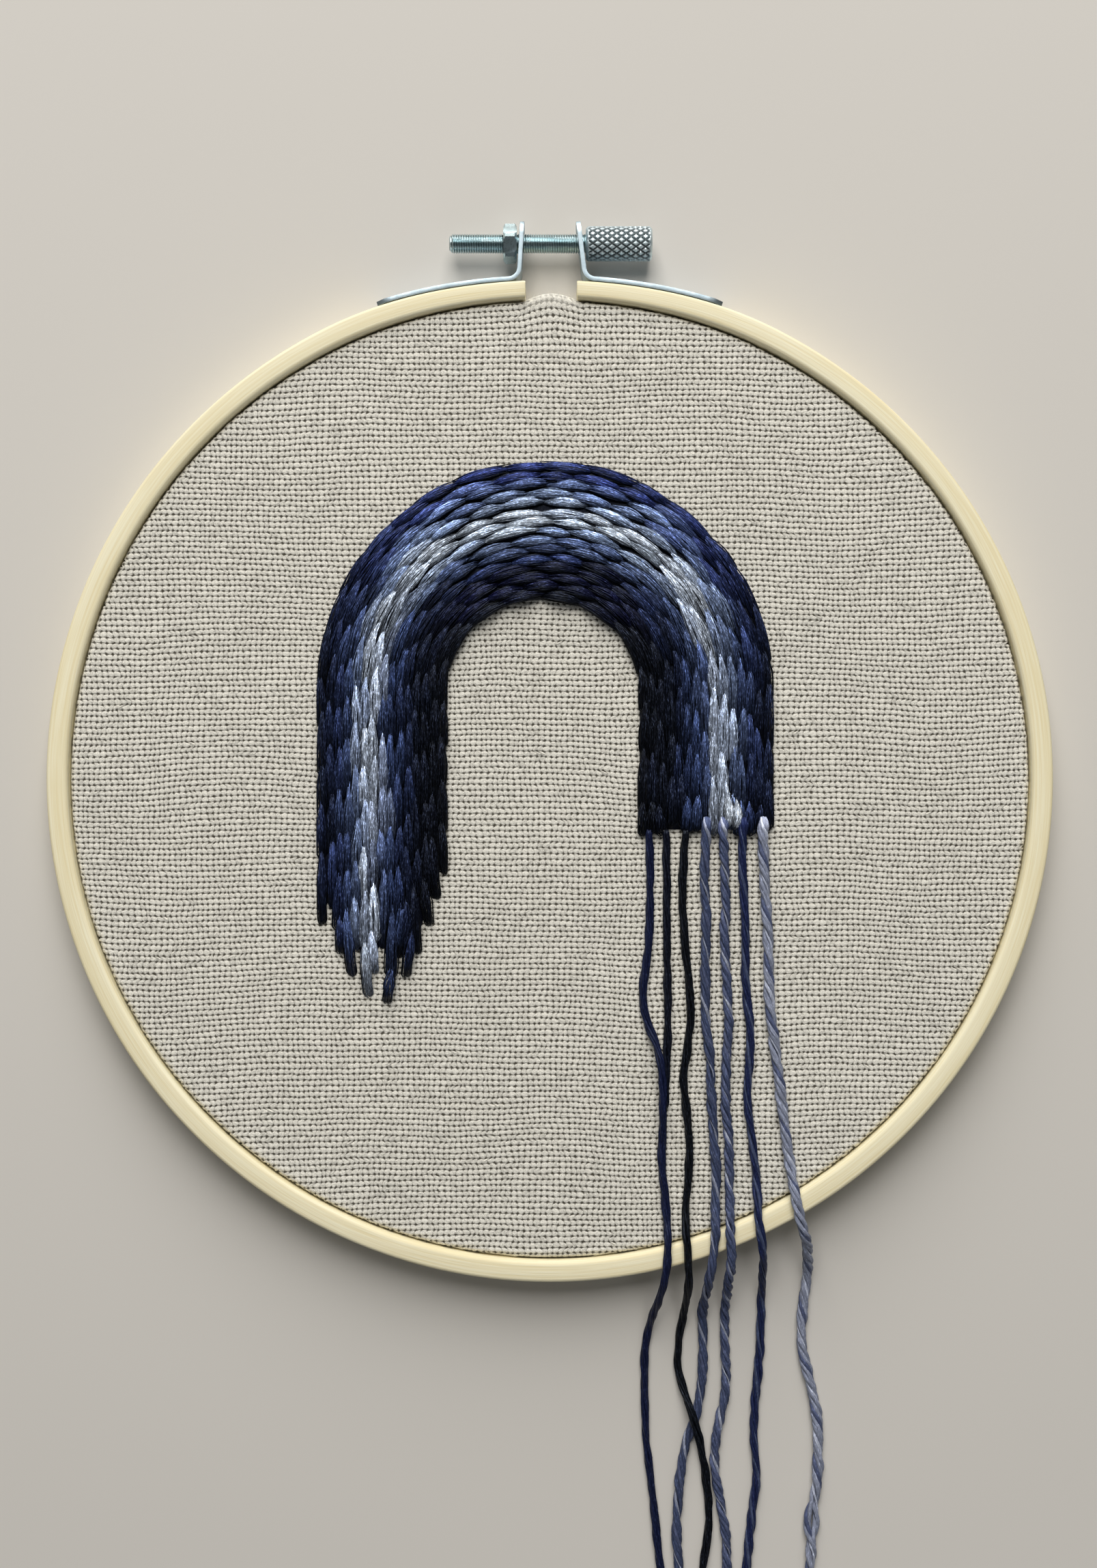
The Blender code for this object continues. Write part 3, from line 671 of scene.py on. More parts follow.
def addTail(name, tail, finish):
    path = tailPath(tail)
    mesh = strandMesh(name, tailStrands(name, tail, path), tailStrand["shine"] * tail["head"])
    piece = addPiece("thread_" + name, mesh, finish, [name])
    ringCentres = [toMetres @ point for point in path]
    length = sum((end - start).length for start, end in zip(ringCentres, ringCentres[1:]))
    leaves = toMetres @ Vector((*tail["route"][0], clothTop + tailLay["gap"] + tail["width"] / 2))
    tail["width"] * mm


tailThread = threadFinish("tailThread", 0.45)
for tailName, tailSizes in tails.items():
    addTail(tailName, tailSizes, tailThread)
print("thread tails are laid")

# The stitched arch: its outer and inner edges are ellipses, each given by its centre's x, half its width
# and its rise. Its rows run from the outer edge to the inner one. The tips are where the longer leg's rows
# end, and the end loops lie over the shorter leg's end.
arch = {
    "centreY": 17.6, "outer": (-0.9, 46.0, 46.5), "inner": (-1.4, 19.5, 18.5), "band": 27.2,
    "rightEnd": -10.8, "rows": 15, "step": 8.8, "overlap": (3.8, 1.8),  # on the legs and round the crown
    "legTips": (-29.7, -26.4, -35.5, -40.1, -34.8, -44.4, -39.4, -34.6, -45.6, -36.2, -40.4,
                -35.5, -29.8, -24.4, -19.5),
    "tipShifts": (0, 0, 0, 0.6, 0, 0.4, 0.3, -0.3, -0.6, -0.4, -0.7, 0.4, 0.6, 0.6, 0.2),
    "endLoops": ((0.276, 6.4, 0.6), (0.335, 7.6, 0.8)), "loopColour": (*paint(206, 216, 230), 1),
    "loopLay": {"level": 0.75, "lift": 0.75, "lean": 0.2, "free": 0.0, "fade": 0.9},
}
# How the stitches vary, how dark their ends are painted, and at what angles from the crown they lie level
# and change from the crown's colours and painted light to the legs' colours
stitchLay = {
    "seed": 41, "most": 16, "rowShift": 0.13, "startShift": 1.5, "firstGap": 0.45, "lastGap": 0.55,
    "usualOverlap": 3, "overlapShift": 1.0, "levelWithin": (28, 58), "legColourFrom": (30, 82),
    "acrossShift": 0.2, "lift": (-0.1, 0.14), "lean": 0.45, "colourShift": 0.03,
    "brightness": (0.62, 1.32), "fade": (0.1, 0.42), "fadeBetween": (0.1, 0.5),
}
stitch = {
    "Strands": 14, "Sides": 5, "Steps": 9, "Leg half width": 1.34, "Half width": 0.99,
    "Free half width": 0.98, "Strand radius": 0.15, "Crest": 0.8, "Head height": 1.2, "End height": 0.0,
    "Level height": 0.9, "Base": 9.1, "Free end base": 8.5, "Dome": 0.6,
}
# How the strands of one stitch vary, how its head and its free end are shaped, and how bright its head is
# painted
strandLook = {
    "tones": (0.68, 1.32), "toneSeed": 9, "looseSeed": 5, "looseAcross": 0.11, "looseHead": 0.75,
    "looseEnd": 0.25, "wave": 0.075, "blunt": 0.84, "freeBlunt": 0.08, "headDip": 0.55, "levelStart": 0.2,
    "headTone": 2.1, "edgeRoom": 0.15, "edgeLoose": 0.1,
}
# Each colour with its share of the way from the outer edge to the inner one; round the crown the outer rows
# are painted lighter as light and the inner rows darker as shade
crownColoursAndLight = (
    (0.00, (84, 102, 172)), (0.06, (44, 56, 116)), (0.12, (58, 72, 140)), (0.19, (120, 142, 198)),
    (0.27, (152, 174, 216)), (0.33, (186, 203, 230)), (0.39, (230, 240, 252)), (0.45, (198, 213, 232)),
    (0.52, (146, 166, 202)), (0.58, (110, 130, 178)), (0.66, (48, 62, 110)), (0.74, (11, 14, 44)),
    (0.82, (10, 11, 56)), (0.90, (7, 8, 42)), (1.00, (3, 4, 19)),
)
legColours = (
    (0.00, (18, 25, 48)), (0.08, (24, 33, 64)), (0.16, (48, 61, 106)), (0.24, (76, 93, 138)),
    (0.31, (124, 142, 180)), (0.38, (208, 221, 240)), (0.44, (190, 203, 226)), (0.51, (92, 108, 150)),
    (0.58, (56, 72, 116)), (0.66, (35, 46, 82)), (0.75, (16, 22, 44)), (0.86, (9, 11, 24)),
    (1.00, (7, 8, 17)),
)
# The ground under the stitches, painted dark as the shade between them: its grid, how much smaller it is
# than the arch, and its heights
bed = {
    "across": 30, "along": 84, "margin": 0.005, "leftShort": 2.6, "rightShort": 0.5, "under": 0.3,
    "edge": 0.35, "rise": 0.75, "slope": 4, "sideSlope": 3, "colour": paint(9, 11, 24),
}


def pickColour(stops, share):
    share = min(max(share, 0), 1)
    for (low, start), (high, end) in zip(stops, stops[1:]):
        if share <= high:
            within = (share - low) / (high - low)
            return Vector(paint(*start)).lerp(Vector(paint(*end)), within)
    return Vector(paint(*stops[-1][1]))


def archPoint(share, run):
    # a place on the arch, by its share of the way across the band and its run along it
    centreX, halfWidth, rise = (mix(*pair, share) for pair in zip(arch["outer"], arch["inner"]))
    turn = min(max(run / halfWidth, 0), math.pi)
    beyond = min(run, 0) - max(run - math.pi * halfWidth, 0)
    return centreX - halfWidth * math.cos(turn), arch["centreY"] + rise * math.sin(turn) + beyond


def archRuns(share):
    # half the arch's width at a share of the band, and the run at which its shorter leg ends
    halfWidth = mix(arch["outer"][1], arch["inner"][1], share)
    return halfWidth, math.pi * halfWidth + arch["centreY"] - arch["rightEnd"]


def about(dice, reach):
    # up to so much either way
    return dice.uniform(-reach, reach)


def layStitches(rows):
    # one point for each stitch, with what the tree needs to know about it
    dice = random.Random(stitchLay["seed"] + rows[0])
    step = arch["step"]
    places = []
    for row in rows:
        share = (row + 0.5) / arch["rows"]
        halfWidth, last = archRuns(share)
        crownRun = math.pi / 2 * halfWidth
        first = arch["legTips"][row] - arch["centreY"]
        phase = crownRun + (row % 2 * 0.5 + about(dice, stitchLay["rowShift"])) * step
        starts = [phase + count * step + about(dice, stitchLay["startShift"])
                  for count in range(-stitchLay["most"], stitchLay["most"] + 1)]
        earliest = first + stitchLay["firstGap"] * step
        latest = last - stitchLay["lastGap"] * step
        starts = [first] + [start for start in starts if earliest < start < latest]
        for start, following in zip(starts, starts[1:] + [last]):
            middle = (start + following + stitchLay["usualOverlap"]) / 2
            fromCrown = math.degrees(abs(middle - crownRun) / halfWidth)
            level = 1 - smoothStep(fromCrown, *stitchLay["levelWithin"])
            overlap = mix(*arch["overlap"], level) + about(dice, stitchLay["overlapShift"])
            end = min(following + overlap, last)
            onRight = middle > crownRun
            place = {
                "share": share + about(dice, stitchLay["acrossShift"]) / arch["rows"],
                "head": start if onRight else end,
                "end": end if onRight else start,
                "level": level,
                "lift": dice.uniform(*stitchLay["lift"]),
                "lean": about(dice, stitchLay["lean"]),
                "free": 0.0,
            }
            if start == first:
                place["lean"] = 2 * arch["tipShifts"][row]
                place["free"] = 1.0
            leg = smoothStep(fromCrown, *stitchLay["legColourFrom"])
            colourShare = share + dice.gauss(0, stitchLay["colourShift"])
            # the crown's colours are the threads' own, with painted light on the outer rows and painted
            # shade on the inner ones
            colour = pickColour(crownColoursAndLight, colourShare).lerp(pickColour(legColours, colourShare), leg)
            place["tint"] = (*(colour * dice.uniform(*stitchLay["brightness"])), 1)
            # how dark the stitch's end is painted as shade under the next one; paler threads get less of it
            place["fade"] = mix(*stitchLay["fade"], smoothStep(sum(colour) / 3, *stitchLay["fadeBetween"]))
            places.append(place)
    for share, head, end in arch["endLoops"]:
        if rows[0] <= share * arch["rows"] < rows[-1] + 1:
            last = archRuns(share)[1]
            places.append({"share": share, "head": last - head, "end": last - end,
                           "tint": arch["loopColour"], **arch["loopLay"]})
    mesh = meshOf("stitchPlaces", [(0, 0, 0)] * len(places), [])
    for name in places[0]:
        keep(mesh, name, "FLOAT_COLOR" if name == "tint" else "FLOAT", [place[name] for place in places])
    return mesh


def archFlow(share, rowShare, run):
    # the same bend as archPoint, in nodes; the row's own share keeps a stitch from shearing
    centreX, halfWidth, rise = (mix(*pair, share) for pair in zip(arch["outer"], arch["inner"]))
    rowHalfWidth = mix(arch["outer"][1], arch["inner"][1], rowShare)
    turn = (run / rowHalfWidth).clamp(0, math.pi)
    beyond = run.low(0) - (run - math.pi * rowHalfWidth).high(0)
    return centreX - halfWidth * turn.cos(), arch["centreY"] + rise * turn.sin() + beyond


def stitchTree():
    entry = newTree("stitches", stitch)
    spread = entry.node("GeometryNodeDuplicateElements", {"domain": "POINT"},
                        {"Geometry": entry.out("Blank"), "Amount": entry.out("Strands")})
    order = spread.out("Duplicate Index") / (entry.out("Strands") - 1) * 2 - 1
    loose = entry.chance((-1, -1, -1), (1, 1, 1), strandLook["looseSeed"], "FLOAT_VECTOR")
    tone = entry.chance(*strandLook["tones"], strandLook["toneSeed"])
    points = store(entry, spread.out("Geometry"), "order", order)
    points = store(entry, points, "loose", loose, "FLOAT_VECTOR")
    whole = onPoints(entry, store(entry, points, "tone", tone))

    position = entry.node("GeometryNodeInputPosition")
    even = (position.axis("Z") + 0.5).clamp()
    loose = named(entry, "loose", "FLOAT_VECTOR")
    looseX = loose.axis("X")
    looseY = loose.axis("Y")
    level = named(entry, "level")
    free = named(entry, "free")
    # u runs from a stitch's head to its end, and q from one side of it to the other; the free ends of
    # the long leg are blunt, so their rings crowd towards the tip
    u = even.towards(1 - (1 - even) ** 1.8, free)
    q = named(entry, "order") + loose.axis("Z") * strandLook["looseAcross"]
    blunt = strandLook["blunt"] + strandLook["freeBlunt"] * free
    hump = (u * math.pi).sin()
    tip = (u / 0.5).clamp() ** 0.75
    root = (1 - (((u - blunt) / (1 - blunt)).clamp() ** 2)).high(0.02).root()
    lens = hump.high(0.0) ** 0.6
    width = (tip * root).towards(lens, level).high(0.06)
    head = named(entry, "head") + looseX * strandLook["looseHead"]
    end = named(entry, "end") + looseY * strandLook["looseEnd"]
    run = head.towards(end, u)
    falling = entry.out("End height").towards(entry.out("Head height"), 1 - u)
    falling = falling - strandLook["headDip"] * u.step(0.13, 0)
    rising = strandLook["levelStart"] + entry.out("Level height") * hump
    height = falling.towards(rising, level) + named(entry, "lift")
    crest = entry.out("Crest") * width * (1 - 0.9 * q * q).high(0.02).root()
    radius = entry.out("Strand radius") * (0.35 + 0.65 * width)
    wave = (u * (8 + 5 * looseX) + looseY * 3).sin() * strandLook["wave"]
    rowShare = named(entry, "share")
    halfWidth = entry.out("Leg half width").towards(entry.out("Half width"), level)
    halfWidth = halfWidth.towards(entry.out("Free half width"), free * u.step(0.3, 0.75))
    # round the crown the outermost row runs along the edge instead of narrowing at its ends
    edging = rowShare.step(0.08, 0.05) * q.math("LESS_THAN", 0) * level
    across = q * width.towards(0.9, edging) * halfWidth + named(entry, "lean") * (u - 0.5) + wave
    # the outermost rows keep to the arch's own edges
    room = strandLook["edgeRoom"] + looseY * strandLook["edgeLoose"]
    across = across.high(rowShare * -arch["band"] - room).low((1 - rowShare) * arch["band"] + room)
    across = across + position.axis("X") * radius
    x, y = archFlow(rowShare + across / arch["band"], rowShare, run)
    middle = rowShare * 2 - 1
    domed = entry.out("Base") + entry.out("Dome") * (1 - middle * middle)
    # the free ends dip into the cloth
    domed = domed.towards(entry.out("Free end base"), free * u.step(0.74, 0.97))
    z = domed + height + crest + position.axis("Y") * radius
    # these two are stored before the points move, because they read where the points were; the fibres
    # of every row and strand start in another place
    along = entry.vector(across + rowShare * 400 + q * 3, run, q * 5)
    shaped = store(entry, whole, "along", along, "FLOAT_VECTOR")
    # the head is painted bright, as if it catches the light, and the end is painted dark, as in the next
    # stitch's shade
    headLightEndShade = named(entry, "fade").towards(strandLook["headTone"], (1 - u) * (1 - u))
    # round the crown each stitch is painted brighter in its middle and on its outer side, and darker on its
    # inner side
    lit = headLightEndShade.towards((0.25 + 0.95 * hump) * (0.86 - 0.76 * q).high(0.06), level)
    # every stitch's edges are painted darker, as shade between the stitches
    lit = lit * (1.05 - 0.8 * q.size() ** 4)
    shaped = store(entry, shaped, "tone", named(entry, "tone") * lit)
    endTree(entry, moved(entry, shaped, entry.vector(x, y, z)))
    return entry


def addStitches():
    finish = threadFinish("stitchThread", 1.0)
    entry = stitchTree()
    third = arch["rows"] // 3
    for name, first in (("stitches_outer", 0), ("stitches_middle", third), ("stitches_inner", 2 * third)):
        places = layStitches(range(first, first + third))
        mesh = grow(name, entry, stitch, finish, places)
        addPiece(name, mesh, finish, ["arch_stitching"])
        print(name, len(places.vertices), "stitches", len(mesh.polygons), "faces")


def bedPoint(station, step):
    share = mix(bed["margin"], 1 - bed["margin"], step / bed["across"])
    row = share * arch["rows"] - 0.5
    low = min(max(int(row), 0), arch["rows"] - 2)
    tip = mix(*arch["legTips"][low:low + 2], min(max(row - low, 0), 1))
    first = tip + bed["leftShort"] - arch["centreY"]
    last = archRuns(share)[1] - bed["rightShort"]
    x, y = archPoint(share, mix(first, last, station / bed["along"]))
    fromSide = min(step, bed["across"] - step) * bed["sideSlope"]
    fromEdge = min(station, bed["along"] - station, fromSide)
    return x, y, clothTop + bed["edge"] + bed["rise"] * smoothStep(fromEdge, 0, bed["slope"])


def addBed():
    # dark ground under the stitches, a little smaller than they reach; its dark colour is painted shade for
    # the gaps between them
    across = bed["across"]
    length = bed["along"]
    points = [bedPoint(station, step) for station in range(length + 1) for step in range(across + 1)]
    top = len(points)
    points += [(x, y, clothTop + bed["under"]) for x, y, z in points]
    faces = []
    wide = across + 1
    for station in range(length):
        for step in range(across):
            corner = station * wide + step
            quad = (corner, corner + 1, corner + wide + 1, corner + wide)
            faces.append(quad)
            faces.append(tuple(top + part for part in reversed(quad)))
    border = list(range(wide))
    border += [station * wide + across for station in range(1, length + 1)]
    border += [length * wide + step for step in range(across - 1, -1, -1)]
    border += [station * wide for station in range(length - 1, 0, -1)]
    for start, end in zip(border, border[1:] + border[:1]):
        faces.append((start, top + start, top + end, end))
    mesh = meshOf("stitch_bed", points, faces)
    outwards(mesh)
    keep(mesh, "tint", "FLOAT_COLOR", [(*bed["colour"], 1)] * len(points))
    keep(mesh, "tone", "FLOAT", [1.0] * len(points))
    keep(mesh, "along", "FLOAT_VECTOR", [(x, y, 0) for x, y, z in points])
    addPiece("stitch_bed", mesh, threadFinish("bedThread", 0.1), ["arch_stitching"])


addBed()
addStitches()
print("the arch is stitched")

# Cloth: rows of rounded threads, raised at every crossing; its edge turns down between the rings
weave = {
    "Pitch along": 1.12, "Pitch between": 1.13, "Radius": round(clothRadius, 2), "Top": round(clothTop, 2),
    "Crest": 0.2, "Dip": -0.03, "Gap": -0.12, "Hole": -0.34,  # heights on the threads and between them
    "Columns": 351, "Rows": 347, "Bend": 1.2,
    "Cut outside": 0.42, "Laid inside": 0.14,
    "Pull in": 0.3, "Pull full": math.radians(3), "Pull none": math.radians(26),
    "Bulge": 1.6, "Bulge half width": 5.9, "Bulge centre": 0.4, "Bulge shape": 1.8, "Bulge depth": 11.0,
    "Bow": 1.8, "Bow half width": 40.0, "Bow depth": 18.0,
    "Slow wander": 4.4, "Quick wander": 0.5, "Slip": 2.1, "Unevenness": 0.05, "Seed": 3,
}
clothEdge = {"thickness": 1.0, "cutSize": 0.21, "cutArea": 0.0346, "sharpAbove": math.radians(70)}
cotton = {
    "shade": paint(80, 75, 64), "bright": paint(255, 251, 239),
    # how deep the hollows between threads, at the crossings and at the corners are, for the bump and for
    # the shade painted in them
    "threadHollow": 0.66, "crossingHollow": 0.42, "cornerHollow": 0.7, "unevenThreads": 0.45, "fluff": 0.6,
    "depth": 0.00028, "relief": 0.8, "roughness": 0.92, "sheen": 0.15, "sheenRoughness": 0.5,
    "specular": 0.2,
}


def clothTree():
    entry = newTree("weave", weave)
    spaceX = entry.out("Pitch along") / 2
    spaceY = entry.out("Pitch between") / 2
    grid = entry.node("GeometryNodeMeshGrid", {}, {
        "Size X": spaceX * (entry.out("Columns") - 1), "Size Y": spaceY * (entry.out("Rows") - 1),
        "Vertices X": entry.out("Columns"), "Vertices Y": entry.out("Rows")})
    position = entry.node("GeometryNodeInputPosition")
    x = position.axis("X")
    y = position.axis("Y")
    row = (y / spaceY).math("ROUND")
    between = row.isOdd()
    beside = (x / spaceX).math("ROUND").isOdd()
    onThread = entry.out("Crest").towards(entry.out("Dip"), beside)
    inGap = entry.out("Gap").towards(entry.out("Hole"), beside)
    uneven = entry.chance(entry.out("Unevenness") * -1, entry.out("Unevenness"), entry.out("Seed"))
    mesh = store(entry, grid.out("Mesh"), "relief", onThread.towards(inGap, between) + uneven)
    mesh = store(entry, mesh, "weave", entry.vector(x, y, 0), "FLOAT_VECTOR")
    # the rows wander a little, as stretched cloth does
    slow = entry.noise(position, 0.022, 1.0, "Color") - 0.5
    quick = entry.noise(position, 0.11, 1.0, "Color") - 0.5
    small = entry.noise(position.stretch((0.5, 0.9, 1.0)), 1.0, 0.0, "Color") - 0.5
    wander = slow * entry.out("Slow wander") + quick * entry.out("Quick wander")
    wander = wander + small.stretch((0.55, 0.25, 0.0))
    # and the crossings of one row don't quite line up with the next row's
    line = (row / 2).math("ROUND")
    slip = (entry.noise(entry.vector(x * 0.2, line * 1.7, 0), 1.0, 1.0) - 0.5) * entry.out("Slip")
    # under the screw the rows are drawn up towards the split
    radius = entry.out("Radius")
    side = (x / entry.out("Bow half width")).clamp(-1, 1)
    bow = entry.out("Bow") * (1 - side * side) ** 2.0 * y.step(radius - entry.out("Bow depth"), radius)
    offset = entry.vector(wander.axis("X") + slip, wander.axis("Y") + bow, 0)
    mesh = entry.node("GeometryNodeSetPosition", {}, {"Geometry": mesh, "Offset": offset})
    # what lies outside the ring is cut away, and the grid's last points are laid along it
    fromCentre = position.math("LENGTH").out("Value")
    outside = fromCentre.math("GREATER_THAN", radius + entry.out("Cut outside"))
    mesh = entry.node("GeometryNodeDeleteGeometry", {"domain": "POINT"},
                      {"Geometry": mesh, "Selection": outside})
    edge = fromCentre.math("GREATER_THAN", radius - entry.out("Laid inside"))
    onto = 1.0 + (radius / fromCentre - 1.0) * edge
    # the rings are drawn in a little near the split, and the cloth bulges into it
    fromTop = (x / fromCentre).math("ARCSINE").size() + (y.math("LESS_THAN", 0)) * 2
    pull = entry.out("Pull in") * fromTop.step(entry.out("Pull none"), entry.out("Pull full"))
    closer = 1.0 - pull * fromCentre.step(radius * 0.5, radius) / fromCentre
    across = ((x - entry.out("Bulge centre")) / entry.out("Bulge half width")).clamp(-1, 1)
    rise = 1 - across.size() ** entry.out("Bulge shape")
    puff = entry.out("Bulge") * rise * y.step(radius - entry.out("Bulge depth"), radius - 0.2)
    # the edge bends down in a quarter circle
    drop = ((fromCentre - (radius - entry.out("Bend"))) / entry.out("Bend")).clamp()
    z = entry.out("Top") - entry.out("Bend") * (1 - (1 - drop * drop).high(0).root())
    z = z + named(entry, "relief") * fromCentre.step(radius - 0.1, radius - 2.2)
    # the fold in the split is brushed and pale, and painted lighter where it bulges up into the light
    bare = (1 - across.size() ** 4) * y.step(radius - 3.0, radius - 1.0)
    mesh = store(entry, mesh, "fluff", bare)
    endTree(entry, moved(entry, mesh, entry.vector(x * onto * closer, y * onto * closer + puff, z)))
    return entry


def clothFinish():
    material, flow = newMaterial("unbleachedCotton")
    where = attributeFlow(flow, "weave", "Vector")
    bent = where + (flow.noise(where, 1.7, 2.0, "Color") - 0.5) * cotton["unevenThreads"]
    across = bent.axis("Y") / weave["Pitch between"]
    row = across.math("ROUND")
    offRow = (across - row).size() * 2
    column = bent.axis("X") / weave["Pitch along"] + 0.5
    offCrest = column.fromMiddle()
    crossing = flow.noise(flow.vector(column.math("FLOOR") * 3.7, row * 3.1, 0), 1.0, 0.0)
    lump = 1 - cotton["threadHollow"] * offRow ** 2.4 - cotton["crossingHollow"] * offCrest ** 2.4
    lump = (lump - cotton["cornerHollow"] * (offRow * offCrest) ** 2).clamp()
    fibre = flow.noise(where, 5.5, 3.0).step(0.3, 0.7)
    grain = flow.noise(where, 2.3, 2.0).step(0.3, 0.7)
    blotch = flow.noise(where, 0.06, 2.0)
    slub = flow.noise(where.stretch((0.3, 1.0, 1.0)), 0.9, 2.0)
    # the hollows between threads and at their corners are painted darker as shade
    creamAndHollowShade = lump.step(-0.04, 0.82) * (0.68 + 0.46 * fibre) * (0.93 + 0.14 * blotch)
    creamAndHollowShade = creamAndHollowShade * (0.74 + 0.52 * crossing) * (0.84 + 0.32 * grain) + (slub - 0.5) * 0.12
    # the fold is paler from its fuzz and painted lighter as light on its bulge
    creamAndHollowShade = creamAndHollowShade.towards(1, cotton["fluff"] * attributeFlow(flow, "fluff", "Fac"))
    endMaterial(flow, {
        "Base Color": blend(flow, creamAndHollowShade.clamp(), cotton["shade"], cotton["bright"]),
        "Roughness": cotton["roughness"],
        "Sheen Weight": cotton["sheen"],
        "Sheen Roughness": cotton["sheenRoughness"],
        "Specular IOR Level": cotton["specular"],
        "Normal": bump(flow, lump + fibre * 0.3, cotton["depth"], cotton["relief"]),
    })
    return material


def addCloth():
    finish = clothFinish()
    mesh = grow("cloth_weave", clothTree(), weave, finish)
    shape = bmesh.new()
    shape.from_mesh(mesh)
    rim = [edge for edge in shape.edges if edge.is_boundary]
    under = clothTop - clothEdge["thickness"]
    for height, inwards in ((clothHem, 0), (clothHem, clothEdge["thickness"]), (under, 0)):
        made = bmesh.ops.extrude_edge_only(shape, edges=rim)["geom"]
        for part in made:
            if isinstance(part, bmesh.types.BMVert):
                scale = 1 - inwards / math.hypot(part.co.x, part.co.y)
                part.co = (part.co.x * scale, part.co.y * scale, height)
        rim = [part for part in made if isinstance(part, bmesh.types.BMEdge) and part.is_boundary]
    # the underside is one flat face, so its weave has to run straight across it
    whereLayer = shape.verts.layers.float_vector["weave"]
    fuzzAndLightLayer = shape.verts.layers.float["fluff"]
    for corner in {corner for edge in rim for corner in edge.verts}:
        corner[whereLayer] = (corner.co.x, corner.co.y, 0)
        corner[fuzzAndLightLayer] = 0
    bmesh.ops.contextual_create(shape, geom=rim)
    bmesh.ops.recalc_face_normals(shape, faces=shape.faces[:])
    shape.to_mesh(mesh)
    shape.free()
    mesh.shade_smooth()
    mesh.set_sharp_from_angle(angle=clothEdge["sharpAbove"])
    piece = addPiece("cloth_weave", mesh, finish, ["cloth"])
    print("cloth", sum(len(face.vertices) - 2 for face in mesh.polygons), "triangles")


addCloth()
print("the cloth is woven")

# Loose hairs on the cloth's fold, where the rings leave it bare under the screw
hair = {"Thickness": 0.02, "Sides": 3, "Steps": 5, "Curl": 0.45}
hairLay = {"seed": 7, "count": 150, "between": (-5.4, 6.0), "inwards": 1.1}
hairLook = {"Base Color": (*paint(240, 238, 230), 1), "Roughness": 0.7, "Specular IOR Level": 0.3}


def hairTree():
    entry = newTree("hairs", hair)
    whole = onPoints(entry, entry.out("Blank"))
    position = entry.node("GeometryNodeInputPosition")
    x = position.axis("X")
    u = (position.axis("Z") + 0.5).clamp()
    bend = (u * math.pi * 1.4).sin() * entry.out("Curl")
    reach = entry.out("Thickness") * (1 - 0.6 * u)
    around = entry.vector(x * reach, position.axis("Y") * reach, x * reach)
    root, aim, curl = (named(entry, name, "FLOAT_VECTOR") for name in ("root", "aim", "curl"))
    endTree(entry, moved(entry, whole, root + aim * u + curl * bend + around))
    return entry


def hairFinish():
    material, flow = newMaterial("looseHair")
    endMaterial(flow, hairLook)
    return material


def hairRoot(x, inwards):
    # a place on the fold, or on the cloth a little inwards of it
    across = abs(x - weave["Bulge centre"]) / weave["Bulge half width"]
    rise = weave["Bulge"] * (1 - min(across, 1) ** weave["Bulge shape"])
    y = clothRadius - weave["Pull in"] + rise - 0.3 - inwards - x * x / 200
    return x, y, clothTop + 0.05 - max(0.9 - inwards, 0) * 0.6


def addHairs(name):
    # each hair starts at its root, goes where it aims and curls a little
    dice = random.Random(hairLay["seed"])
    roots = []
    aims = []
    for count in range(hairLay["count"]):
        x = dice.uniform(*hairLay["between"])
        roots.append(hairRoot(x, abs(dice.gauss(0, hairLay["inwards"]))))
        aims.append((dice.gauss(0, 0.55), dice.uniform(0.1, 1.0), dice.uniform(-0.1, 0.5)))
    curlDice = random.Random(name)
    mesh = meshOf(name + "Starts", [(0, 0, 0)] * len(roots), [])
    keep(mesh, "root", "FLOAT_VECTOR", roots)
    keep(mesh, "aim", "FLOAT_VECTOR", aims)
    keep(mesh, "curl", "FLOAT_VECTOR", [[curlDice.uniform(-1, 1) for part in range(3)] for root in roots])
    finish = hairFinish()
    addPiece(name, grow(name, hairTree(), hair, finish, mesh), finish)


addHairs("split_hairs")

# Rings: pale bamboo strips, drawn in towards the split; pull gives the shares at the inner and outer wall
rings = {
    "steps": 260, "pullIn": 1.0, "pullFull": weave["Pull full"], "pullNone": weave["Pull none"],
    "roundSteps": 6, "sharpAbove": math.radians(50),
}
outerRing = {
    "radius": hoopRadius, "wall": 4.3, "height": rimTop, "rounds": (1.0, 0.7, 0.7, 0.7), "pull": (0.3, 1.0),
    "splitLeft": 5.0, "splitRight": 5.6, "endRound": 0.3, "endTaper": (0.12, 0.08),
}
innerRing = {
    "radius": innerRadius, "wall": 4.3, "height": innerTop, "rounds": (0.5, 0.5, 0.5, 0.5),
    "pull": (0.3, 0.3),
}
bamboo = {
    "dark": paint(238, 224, 180), "bright": paint(252, 245, 214), "fibres": (0.035, 2.6, 2.6),
    "pores": (0.16, 9.0, 9.0), "bands": (0.012, 0.4, 0.4), "roughness": 0.48, "specular": 0.4,
    "depth": 0.00012, "relief": 0.5,
}


def pullIn(angle):
    fromTop = abs((angle + math.pi) % math.tau - math.pi)
    return rings["pullIn"] * (1 - smoothStep(fromTop, rings["pullFull"], rings["pullNone"]))


def ringOutline(ring):
    # the ring's section, each corner rounded
    inner = ring["radius"] - ring["wall"]
    steps = rings["roundSteps"]
    corners = ((inner, ring["height"], 90), (ring["radius"], ring["height"], 0), (ring["radius"], 0, -90),
               (inner, 0, -180))
    points = []
    for (x, z, start), reach in zip(corners, ring["rounds"]):
        centreX = x + reach if x == inner else x - reach
        centreZ = z - reach if z else z + reach
        for step in range(steps):
            turn = math.radians(start + 90 - 90 / (steps - 1) * step)
            points.append((centreX + reach * math.cos(turn), centreZ + reach * math.sin(turn)))
    return points


